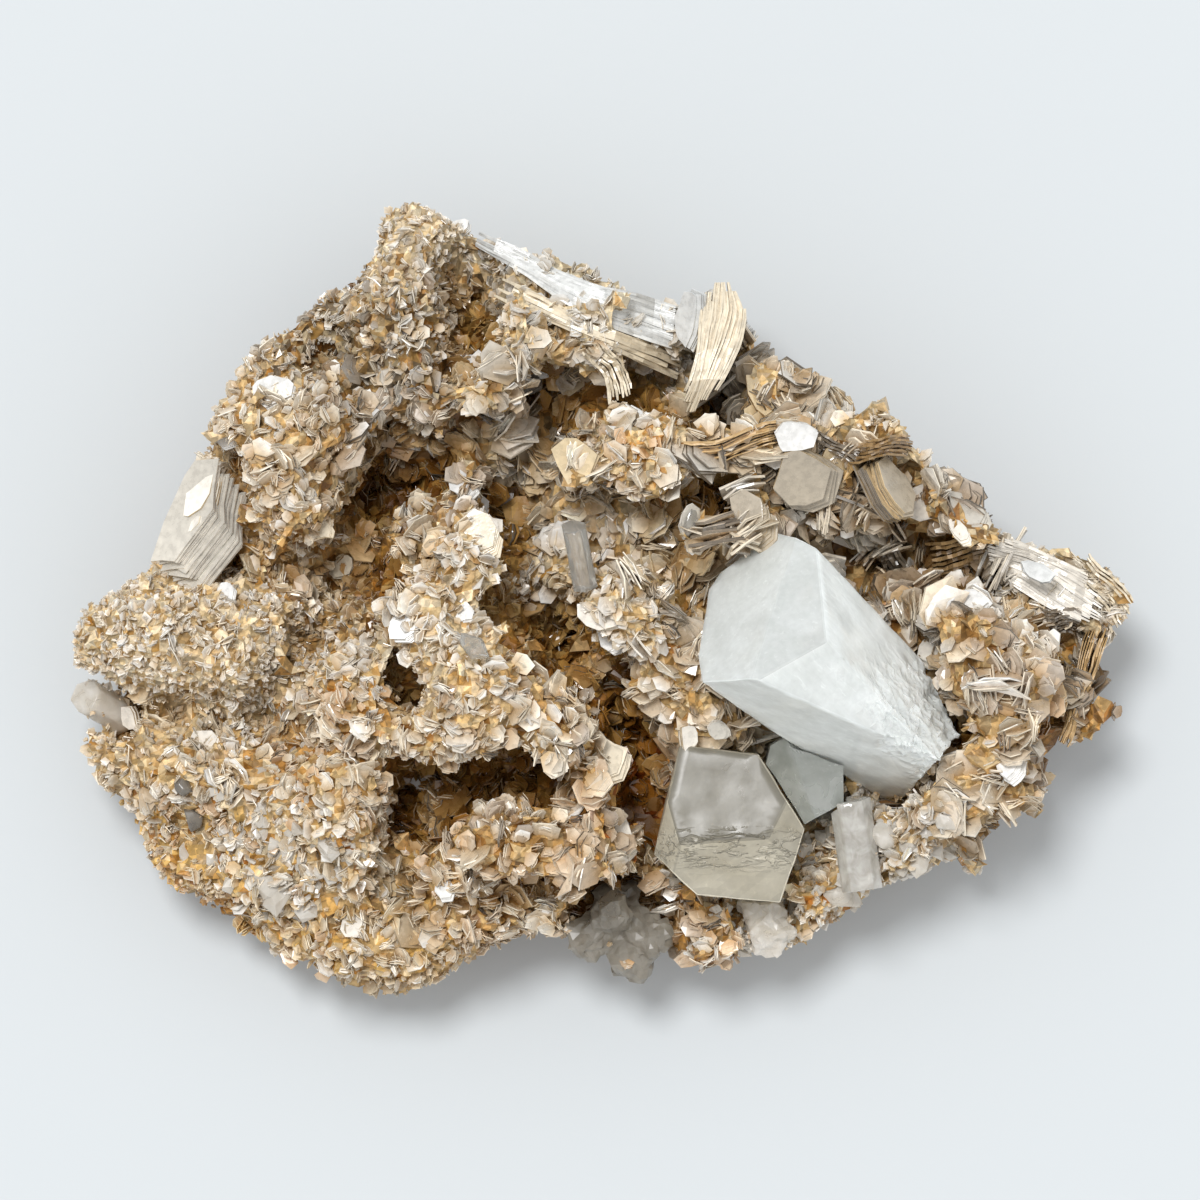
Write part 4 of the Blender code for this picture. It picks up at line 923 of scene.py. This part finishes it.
def apply_modifiers(obj):
    graph = bpy.context.evaluated_depsgraph_get()
    mesh = bpy.data.meshes.new_from_object(obj.evaluated_get(graph))
    obj.modifiers.clear()
    obj.data = mesh


def remesh(obj, voxel, draw_in=0.0, smooth=2):
    step = obj.modifiers.new("Remesh", "REMESH")
    step.mode = "VOXEL"
    step.voxel_size = voxel * MM
    if smooth:
        step = obj.modifiers.new("Smooth", "SMOOTH")
        step.factor = 0.5
        step.iterations = smooth
    if draw_in:
        step = obj.modifiers.new("Draw in", "DISPLACE")
        step.strength = -draw_in * MM
        step.mid_level = 0
    apply_modifiers(obj)


def spots_depth(places, spots):
    """How deep the deepest of the round spots is at each place, in millimetres."""
    depth = np.zeros(len(places))
    for x, y, reach, full in spots:
        gap = np.hypot(places[:, 0] / MM - x, places[:, 1] / MM - y)
        depth = np.maximum(depth, full * np.exp(-((gap / reach) ** 2)))
    return depth


def open_crevices(mesh, hearts):
    """Sinks the rock between the rosettes."""
    places = read(mesh.vertices, "co")
    heart, _, crevice = hearts.nearest(places)
    depth = crevice * CREVICE_DEPTH * hearts.spans[heart] * np.clip(places[:, 2] / MM / 4 - 0.5, 0, 1)
    move_vertices(mesh, places - read(mesh.vertices, "normal") * depth[:, None] * MM)


def reshape_hollows(mesh):
    """Digs the pits and lifts the floors of the clefts that are too deep."""
    places = read(mesh.vertices, "co")
    up = np.clip(read(mesh.vertices, "normal")[:, 2] * 2, 0, 1)
    rise = (spots_depth(places, RISES) - spots_depth(places, PITS)) * up * MM
    places[:, 2] = np.maximum(places[:, 2] + rise, np.minimum(places[:, 2], 4 * MM))
    move_vertices(mesh, places)


def roughen(mesh, chance):
    """Small uneven facets all over, but for the flat base."""
    places = read(mesh.vertices, "co")
    push = chance.normal(0, GRAIN * MM, len(places))
    push = np.where(places[:, 2] < FLAT_BASE * MM, 0, push - GRAIN * MM)
    places += read(mesh.vertices, "normal") * push[:, None]
    move_vertices(mesh, places)


def paint_rock(mesh, relief, hearts, chance):
    """A colour to each facet, from its region's palette, stained and darkened by painted shade in hollows
    and crevices.
    """
    centres = read(mesh.polygons, "center")
    corners = np.empty(len(mesh.polygons), np.int32)
    mesh.polygons.foreach_get("loop_total", corners)
    tint = pick_colours(pick_regions(centres, chance), chance) * ROCK_SHADE
    hollow = np.maximum(relief.hollow(centres), hearts.nearest(centres)[2])
    set_tint(mesh, np.repeat(stain_and_shade_hollows(tint, hollow), corners, 0))


def make_rock(chance):
    """The matrix solid drawn in by the depth of its crust, with its pits dug out."""
    rock = copy_node("mica_albite_matrix", "matrix_rock")
    remesh(rock, ROCK_VOXEL, CRUST_DEPTH)
    reshape_hollows(rock.data)
    relief = Relief(read(rock.data.vertices, "co"))
    hearts = Hearts(read(rock.data.vertices, "co"), chance)
    open_crevices(rock.data, hearts)
    return rock, relief, hearts


def finish_rock(rock, relief, hearts, chance):
    roughen(rock.data, chance)
    paint_rock(rock.data, relief, hearts, chance)
    rock.data.materials.clear()
    rock.data.materials.append(rock_material())
    rock.data.polygons.foreach_set("use_smooth", [False] * len(rock.data.polygons))
    settle(rock, "mica", "mica_albite_matrix")


def foot_flakes(rock, relief, hearts, chance):
    """Small flakes where the crystals meet the rock."""
    tree = surface_tree(rock.data)
    points, normals = [], []
    for node in CRUSTED:
        places, ways = samples(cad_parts[node], FAN_RATE * FOOT_RATE, chance)
        near = np.array([tree.find_nearest(place)[3] for place in places]) < FOOT_REACH * MM
        near |= chance.random(len(near)) < DUST.get(node, 0)
        points.append(places[near])
        normals.append(ways[near])
    points, normals = np.concatenate(points), np.concatenate(normals)
    return grow_fans(points, normals, relief, hearts, chance, FOOT_SHRINK)


def make_crust(rock, relief, hearts, planes, material, chance):
    """All the flakes, joined into pieces by where they lie and how large they are."""
    points, normals = samples(rock, FAN_RATE, chance)
    flakes = grow_fans(points, normals, relief, hearts, chance)
    foot = foot_flakes(rock, relief, hearts, chance)
    clear = np.append(clear_of_pieces(flakes, planes), np.ones(len(foot["size"]), bool))
    flakes = {key: np.concatenate([value, foot[key]]) for key, value in flakes.items()}
    clear &= flakes["middle"][:, 2] > LOWEST_CRUST * MM
    x, y = flakes["middle"][:, 0] / MM, flakes["middle"][:, 1] / MM
    areas = {
        "left": x < -36,
        "upper_left": (x >= -36) & (x < -6) & (y >= 4),
        "lower_left": (x >= -36) & (x < -6) & (y < 4),
        "upper_right": (x >= -6) & (y >= 4),
        "lower_right": (x >= -6) & (y < 4),
    }
    small = flakes["size"] < SMALL_FLAKE * MM
    for area, inside in areas.items():
        for size, sides, chosen in (("small", 4, small), ("large", 6, ~small)):
            name = f"{size}_flakes_{area}"
            piece = flake_object(name, flakes, inside & clear & chosen, sides, material, chance)
            settle(piece, "mica")


# Piles and fans of sheets


def sheet_frame(bearing, lean, turn):
    """The turn that lays +Z along a normal of this bearing and lean, after a turn in its own plane."""
    tilt = Matrix.Rotation(math.radians(bearing), 3, "Z") @ Matrix.Rotation(math.radians(lean), 3, "Y")
    return tilt @ Matrix.Rotation(math.radians(turn - bearing), 3, "Z")


def sheet_outline(across, along, chance, sides=9):
    """A worn six-sided outline."""
    angle = (np.arange(sides) + chance.uniform(-0.35, 0.35, sides)) * 2 * math.pi / sides
    sector = (angle % (math.pi / 3)) - math.pi / 6
    reach = math.cos(math.pi / 6) / np.cos(sector) * 1.14 * chance.uniform(0.76, 1.06, sides)
    return np.stack([reach * np.cos(angle) * across, reach * np.sin(angle) * along], -1)


def pile_sheets(pile, ground, chance):
    """The outlines, half thicknesses and colours of a pile's sheets, from its top down."""
    axes = np.array(sheet_frame(pile.bearing, pile.lean, pile.turn))
    height = ground(pile.x, pile.y) + 0.3 * pile.pitch * pile.sheets if pile.z is None else pile.z
    outlines, halves, flats, edges = [], [], [], []
    flat, edge = (PALETTE[name] for name in LOOKS[pile.look])
    whole = sheet_outline(pile.across, pile.along, chance)
    for k in range(pile.sheets):
        ring = whole * chance.uniform(0.9, 1.05) * chance.uniform(0.93, 1.05, (len(whole), 1))
        slide = np.array(pile.slide) * k * (pile.across, pile.along) + chance.normal(0, 0.08, 2)
        ring = ring + slide
        rise = -k * pile.pitch + 0.1 * chance.normal(size=len(ring)) * pile.pitch
        local = np.column_stack([ring, rise + 0.05 * (ring**2).sum(1) / max(pile.along, 1)])
        outlines.append((local @ axes.T + (pile.x, pile.y, height)) * MM)
        halves.append(axes[:, 2] * pile.pitch * chance.uniform(0.36, 0.49) * MM)
        flats.append(flat * chance.uniform(0.86, 1.04) * np.linspace(0.8, 1.05, len(ring))[:, None])
        edges.append(edge * chance.uniform(0.6, 1.1) * np.ones((len(ring), 1)))
    return outlines, halves, flats, edges


def make_piles(name, piles, ground, material, chance):
    parts = [pile_sheets(pile, ground, chance) for pile in piles]
    outlines, halves, flats, edges = (np.array(sum(column, [])) for column in zip(*parts))
    return plates_mesh(name, outlines, halves, flats, edges, material)


def resample(points, count):
    """A run of points spread evenly to a count."""
    points = np.array(points, float)
    place = np.linspace(0, 1, len(points))
    wanted = np.linspace(0, 1, count)
    return np.column_stack([np.interp(wanted, place, points[:, i]) for i in range(3)])


def drape(first, last, ground):
    """The height of the rock under a fan, without its peaks and its drops steeper than DRAPE."""
    share = np.linspace(0, 1, 6)[:, None, None]
    spots = (first * (1 - share) + last * share)[..., :2].reshape(-1, 2)
    tops = ground(spots[:, 0], spots[:, 1])
    peak = np.median(tops) + DRAPE_PEAK
    tops = np.minimum(tops, peak)

    def height(x, y):
        gap = np.hypot(x[:, None] - spots[:, 0], y[:, None] - spots[:, 1])
        return np.maximum(np.minimum(ground(x, y), peak), (tops - DRAPE * gap).max(1))

    return height


def fan_rings(fan, k, edges, height, chance):
    """The four corners of the sheet of a fan at each step of its run."""
    first, last = edges
    gap = np.linalg.norm(first - last, axis=1).mean() / fan.sheets
    share = (k + 0.5 + chance.uniform(-0.3, 0.3)) / fan.sheets
    rounded = int(round(fan.rounded * (2 * share - 1) ** 2))
    part = slice(rounded + chance.integers(0, 2), FAN_STEPS - rounded - chance.integers(0, 2))
    run = (first * (1 - share) + last * share)[part]
    wave = np.sin(np.linspace(0, 5, FAN_STEPS)[part] + 0.12 * k) * 0.35
    wave = wave + chance.normal(0, 0.12 * gap, len(run))
    run[:, 2] += height(run[:, 0], run[:, 1]) if height else 0
    run[:, 2] += chance.normal(0, fan.ragged, len(run)) + chance.normal(0, fan.ragged * 1.2)
    way = unit(np.gradient(run[:, :2], axis=0))
    side = np.column_stack([way[:, 1], -way[:, 0], np.zeros(len(run))])
    run = run + side * wave[:, None]
    half = side * gap * (chance.uniform(0.85, 1.2) if fan.closed else chance.uniform(0.25, 0.5))
    half[[0, -1]] *= 0.6
    taper = 0.5 + 0.5 * np.sin(np.linspace(0.1, math.pi - 0.1, FAN_STEPS))[part]
    low = run - np.outer(fan.depth * taper * chance.uniform(0.8, 1), (0, 0, 1))
    return np.stack([run + half, run - half, low - half, low + half], 1)


def strip_faces(base, count):
    """The walls and the two ends of a strip of rings with four corners."""
    ring = np.arange(4)
    wall = np.stack([ring, (ring + 1) % 4, (ring + 1) % 4 + 4, ring + 4], -1)
    walls = base + wall[None] + np.arange(count - 1)[:, None, None] * 4
    tail = base + (count - 1) * 4
    return np.concatenate([walls.reshape(-1, 4), [ring[::-1] + base], [ring + tail]])


def make_fan(name, fan, ground, material, chance):
    """Sheets on edge between a first and a last run, each a thin closed strip."""
    edges = resample(fan.first, FAN_STEPS), resample(fan.last, FAN_STEPS)
    height = drape(*edges, ground) if ground else None
    flat, edge = (PALETTE[colour] for colour in LOOKS[fan.look])
    tones = np.array([edge, flat, flat, flat])
    verts, loops, colours = [], [], []
    for k in range(fan.sheets):
        rings = fan_rings(fan, k, edges, height, chance)
        loops.append(strip_faces(4 * sum(map(len, verts)), len(rings)))
        verts.append(rings)
        shade = chance.uniform(0.76, 1.0)
        walls = tones * shade * chance.uniform(0.9, 1.05, (len(rings) - 1, 4, 1))
        colours += [walls.reshape(-1, 3), [edge, edge]]
    loops = np.concatenate(loops)
    colours = np.repeat(np.concatenate(colours), 4, axis=0)
    verts = np.concatenate(verts).reshape(-1, 3) * MM
    return fast_mesh(name, verts, loops.ravel(), np.arange(len(loops)) * 4, colours, 0, material)


def make_books(ground, material, chance):
    """The pieces that stand for the CAD's mica books."""
    for node, piles in BOOK_PILES.items():
        settle(make_piles(f"{node}_sheets", piles, ground, material, chance), "mica_book", node)
    for node, fan, base in (("crest_mica_book", CREST_FAN, None), ("end_mica_book", END_FAN, ground)):
        settle(make_fan(f"{node}_sheets", fan, base, material, chance), "mica_book", node)


def make_loose_sheets(ground, material, chance):
    settle(make_piles("large_flakes", LOOSE_PILES, ground, material, chance), "mica_book")
    for name, fan in FANS.items():
        settle(make_fan(name, fan, ground, material, chance), "mica_book")


# Crystals


def wear(mesh, span, depth):
    """Uneven growth and wear on the faces of a crystal."""
    places, normals = read(mesh.vertices, "co"), read(mesh.vertices, "normal")
    push = np.array([noise.noise(Vector(place)) for place in places / (span * MM)])
    move_vertices(mesh, places + normals * push[:, None] * depth * MM)


def broken_share(places, root):
    """How far into its broken root a crystal is at each place, from 0 to 1."""
    along = (places[..., 0] * root.x + places[..., 1] * root.y) / MM
    across = (places[..., 1] * root.x - places[..., 0] * root.y) / MM
    uneven = (np.sin(places[..., 0] / MM * 0.9) + np.sin(places[..., 1] / MM * 1.3 + 1)) * 1.2
    share = np.clip((along + uneven - root.start) / (root.full - root.start), 0, 1)
    return share * np.clip((across + 0.5 * uneven - root.side) / 1.5, 0, 1)


def break_root(mesh, root):
    """Splinters and pits on the root of a crystal, with flat facets."""
    places, normals = read(mesh.vertices, "co"), read(mesh.vertices, "normal")
    rough = np.array([
        abs(noise.noise(Vector(place / (2.6 * MM)))) + 0.5 * abs(noise.noise(Vector(place / (1.1 * MM))))
        for place in places
    ])
    share = broken_share(places, root)
    move_vertices(mesh, places - normals * (rough * share * root.depth * MM)[:, None])
    rough_face = broken_share(read(mesh.polygons, "center"), root) > 0.25
    mesh.polygons.foreach_set("use_smooth", ~rough_face)


def split_long_edges(bm, root):
    """Triangles no longer than CRYSTAL_FACET, and finer on a broken root."""
    bmesh.ops.triangulate(bm, faces=bm.faces)
    for _ in range(CRYSTAL_SPLITS):
        middles = np.array([(e.verts[0].co + e.verts[1].co) / 2 for e in bm.edges])
        limit = np.full(len(middles), CRYSTAL_FACET)
        if root:
            limit = np.where(broken_share(middles, root) > 0.1, BROKEN_FACET, limit)
        long_edges = [e for e, most in zip(bm.edges, limit) if e.calc_length() > most * MM]
        if not long_edges:
            break
        bmesh.ops.subdivide_edges(bm, edges=long_edges, cuts=1)
        bmesh.ops.triangulate(bm, faces=[f for f in bm.faces if len(f.verts) > 3])


def drop_folds(bm):
    """Takes out faces that lie folded onto each other."""
    groups = {}
    for face in bm.faces:
        groups.setdefault(frozenset(face.verts), []).append(face)
    folded = [face for group in groups.values() for face in group[: len(group) // 2 * 2]]
    bmesh.ops.delete(bm, geom=folded, context="FACES")


def make_crystal(node, slot, material, edge, uneven, root=None):
    """A seated crystal with its edges worn and its faces slightly uneven."""
    piece = add_object(f"{node}_crystal", bpy.data.meshes.new(f"{node}_crystal"))
    bm = bmesh.new()
    bm.from_mesh(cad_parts[node].data)
    bmesh.ops.remove_doubles(bm, verts=bm.verts, dist=0.01 * MM)
    flat = math.radians(FLAT_ANGLE)
    bmesh.ops.dissolve_limit(bm, angle_limit=flat, verts=bm.verts, edges=bm.edges)
    bmesh.ops.bevel(bm, geom=bm.edges, offset=edge * MM, segments=1, affect="EDGES", clamp_overlap=True)
    bmesh.ops.remove_doubles(bm, verts=bm.verts, dist=SHORTEST_EDGE * MM)
    bmesh.ops.dissolve_degenerate(bm, edges=bm.edges, dist=SHORTEST_EDGE * MM)
    split_long_edges(bm, root)
    drop_folds(bm)
    bm.to_mesh(piece.data)
    bm.free()
    piece.data.shade_smooth()
    wear(piece.data, GROWTH_SPAN, uneven)
    wear(piece.data, WEAR_SPAN, WEAR_DEPTH)
    piece.data.set_sharp_from_angle(angle=math.radians(SHARP_ANGLE))
    if root:
        break_root(piece.data, root)
    finish_crystal(piece, node, slot, material)


def make_massive(node, slot, material, facets):
    """Quartz grown together into one lump with uneven, broken faces."""
    piece = copy_node(node, f"{node}_crystal")
    remesh(piece, QUARTZ_VOXEL, 0.1, 5)
    wear(piece.data, 2.4, 0.9)
    wear(piece.data, 1.0, 0.5)
    step = piece.modifiers.new("Facets", "DECIMATE")
    step.ratio = facets / max(len(piece.data.polygons), facets)
    apply_modifiers(piece)
    piece.data.shade_flat()
    finish_crystal(piece, node, slot, material)


def finish_crystal(piece, node, slot, material):
    piece.data.materials.clear()
    piece.data.materials.append(material)
    settle(piece, slot, node)


# The broken root of a crystal: the way to it, how far along that way it starts and is full, how far
# to the side of it the break begins, and its depth.
Root = namedtuple("Root", "x y start full side depth")
MAIN_ROOT = Root(0.565, -0.825, 26.0, 34.0, 19.4, 1.3)
LOWER_RIDGES = (-32.2, 3.2)  # the middle of the ridged band of the lower crystal, and its reach


def make_crystals(quartz):
    aqua = crystal_material("aquamarine", AQUAMARINE, MAIN_ROOT)
    beige = crystal_material("lower_aquamarine", BEIGE, ridges=LOWER_RIDGES)
    shade = crystal_material("shaded_aquamarine", SHADED)
    make_crystal("main_aquamarine", "aquamarine", aqua, 0.16, 0.1, MAIN_ROOT)
    make_crystal("lower_aquamarine", "aquamarine", beige, 0.16, 0.16)
    make_crystal("shaded_aquamarine", "aquamarine", shade, 0.12, 0.2)
    make_crystal("lower_clear_prism", "aquamarine", quartz["glassy"], 0.12, 0.1)
    make_crystal("middle_clear_prism", "aquamarine", quartz["clear"], 0.12, 0.1)
    make_crystal("edge_crystal", "quartz", quartz["milky"], 0.12, 0.3)
    make_massive("quartz_cluster", "quartz", quartz["grey"], 900)
    make_massive("quartz_point", "quartz", quartz["milky"], 400)


def add_hull(bm, points, matrix):
    """Adds the convex hull of some points, moved by a matrix, as a closed solid."""
    new = [bm.verts.new(matrix @ Vector(point)) for point in points]
    found = bmesh.ops.convex_hull(bm, input=new)
    inner = [item for item in found["geom_interior"] if isinstance(item, bmesh.types.BMVert)]
    bmesh.ops.delete(bm, geom=inner, context="VERTS")


def finish_quartz(name, bm, material):
    mesh = bpy.data.meshes.new(name)
    bm.to_mesh(mesh)
    bm.free()
    mesh.shade_flat()
    mesh.materials.append(material)
    settle(add_object(name, mesh), "quartz")


def make_grains(rock, material, chance):
    """Small lumps of quartz where the crust is grainy."""
    points, _ = samples(rock, GRAIN_RATE, chance)
    kinds = [REGIONS[i].kind for i in pick_regions(points, chance)]
    points = points[[kind is GRAINS for kind in kinds]]
    bm = bmesh.new()
    for point in points:
        size = GRAIN_SIZE * MM * chance.lognormal(0, 0.35)
        corners = unit(chance.normal(size=(12, 3))) * chance.uniform(0.7, 1.0, (12, 1)) * size
        add_hull(bm, corners * (1, chance.uniform(0.8, 1.5), 0.8), Matrix.Translation(point))
    finish_quartz("quartz_grains", bm, material)


def make_block(name, block, ground, material, chance):
    """A small worn block with irregular facets, half sunk in the rock."""
    bm = bmesh.new()
    corners = unit(chance.normal(size=(22, 3))) * chance.uniform(0.8, 1.0, (22, 1))
    add_hull(bm, corners, Matrix.Identity(4))
    bmesh.ops.bevel(bm, geom=bm.edges, offset=0.06, segments=1, affect="EDGES")
    size = Matrix.Diagonal((block.size * MM, block.long * MM, block.size * 0.8 * MM, 1))
    turn = Matrix.Rotation(math.radians(block.turn), 4, "Z")
    place = Vector((block.x, block.y, ground(block.x, block.y) + 0.4 * block.size)) * MM
    bmesh.ops.transform(bm, matrix=Matrix.Translation(place) @ turn @ size, verts=bm.verts)
    finish_quartz(name, bm, material)


# Light, floor and camera


def make_stage():
    paint = Nodes("floor").set(Base_Color=(*linear(FLOOR_COLOUR), 1), Roughness=1.0, Specular_IOR_Level=0.0)
    bpy.ops.mesh.primitive_plane_add(size=6)
    floor = bpy.context.object
    floor.name = "floor"
    floor.data.materials.append(paint.material)

    sun = bpy.data.lights.new("key", "SUN")
    sun.energy = SUN_POWER
    sun.angle = math.radians(SUN_ANGLE)
    key = bpy.data.objects.new("key", sun)
    bpy.context.scene.collection.objects.link(key)
    key.rotation_euler = Vector(SUN_FROM).to_track_quat("Z", "Y").to_euler()

    world = bpy.data.worlds.new("studio")
    world.use_nodes = True
    bpy.context.scene.world = world
    world.node_tree.nodes["Background"].inputs["Color"].default_value = (1, 1, 1, 1)
    world.node_tree.nodes["Background"].inputs["Strength"].default_value = SKY_POWER
    bpy.context.scene.view_settings.view_transform = "Standard"
    bpy.context.scene.view_settings.look = "None"


def make_camera():
    data = bpy.data.cameras.new("camera")
    data.sensor_width = 36
    data.lens = data.sensor_width * (CAMERA_HEIGHT - MIDDLE_HEIGHT) / VIEW_WIDTH
    data.clip_end = 20
    camera = bpy.data.objects.new("camera", data)
    camera.location = (0, 0, CAMERA_HEIGHT * MM)
    bpy.context.scene.collection.objects.link(camera)
    bpy.context.scene.camera = camera


def surface_tree(mesh):
    return BVHTree.FromPolygons([v.co for v in mesh.vertices], [p.vertices for p in mesh.polygons])


def make_ground(rock):
    """A function that gives the height of the rock, in millimetres, at a place or at many."""
    tree = surface_tree(rock.data)

    def height(x, y):
        hit = tree.ray_cast(Vector((x * MM, y * MM, RAY_TOP)), Vector((0, 0, -1)))[0]
        return (hit or tree.find_nearest(Vector((x, y, RIM_HEIGHT)) * MM)[0]).z / MM

    return np.vectorize(height, otypes=[float])


def main():
    chance = np.random.default_rng(SEED)
    rock, relief, hearts = make_rock(chance)
    ground = make_ground(rock)
    planes = [hull_planes(node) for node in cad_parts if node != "mica_albite_matrix"]
    flakes = mica_material("mica_flakes", 0.24, False)
    sheets = mica_material("mica_sheets", 0.26, True)
    make_crust(rock, relief, hearts, planes, flakes, chance)
    finish_rock(rock, relief, hearts, chance)
    make_books(ground, sheets, chance)
    make_loose_sheets(ground, sheets, chance)
    quartz = {
        "clear": crystal_material("clear_quartz", CLEAR),
        "glassy": crystal_material("glassy_beryl", GLASSY),
        "milky": crystal_material("milky_quartz", MILKY),
        "grey": crystal_material("grey_quartz", GREY),
        "smoky": crystal_material("smoky_quartz", SMOKY),
    }
    make_crystals(quartz)
    for name, block in BLOCKS.items():
        make_block(name, block, ground, quartz[block.look], chance)
    make_grains(rock, quartz["milky"], chance)
    make_stage()
    make_camera()


main()
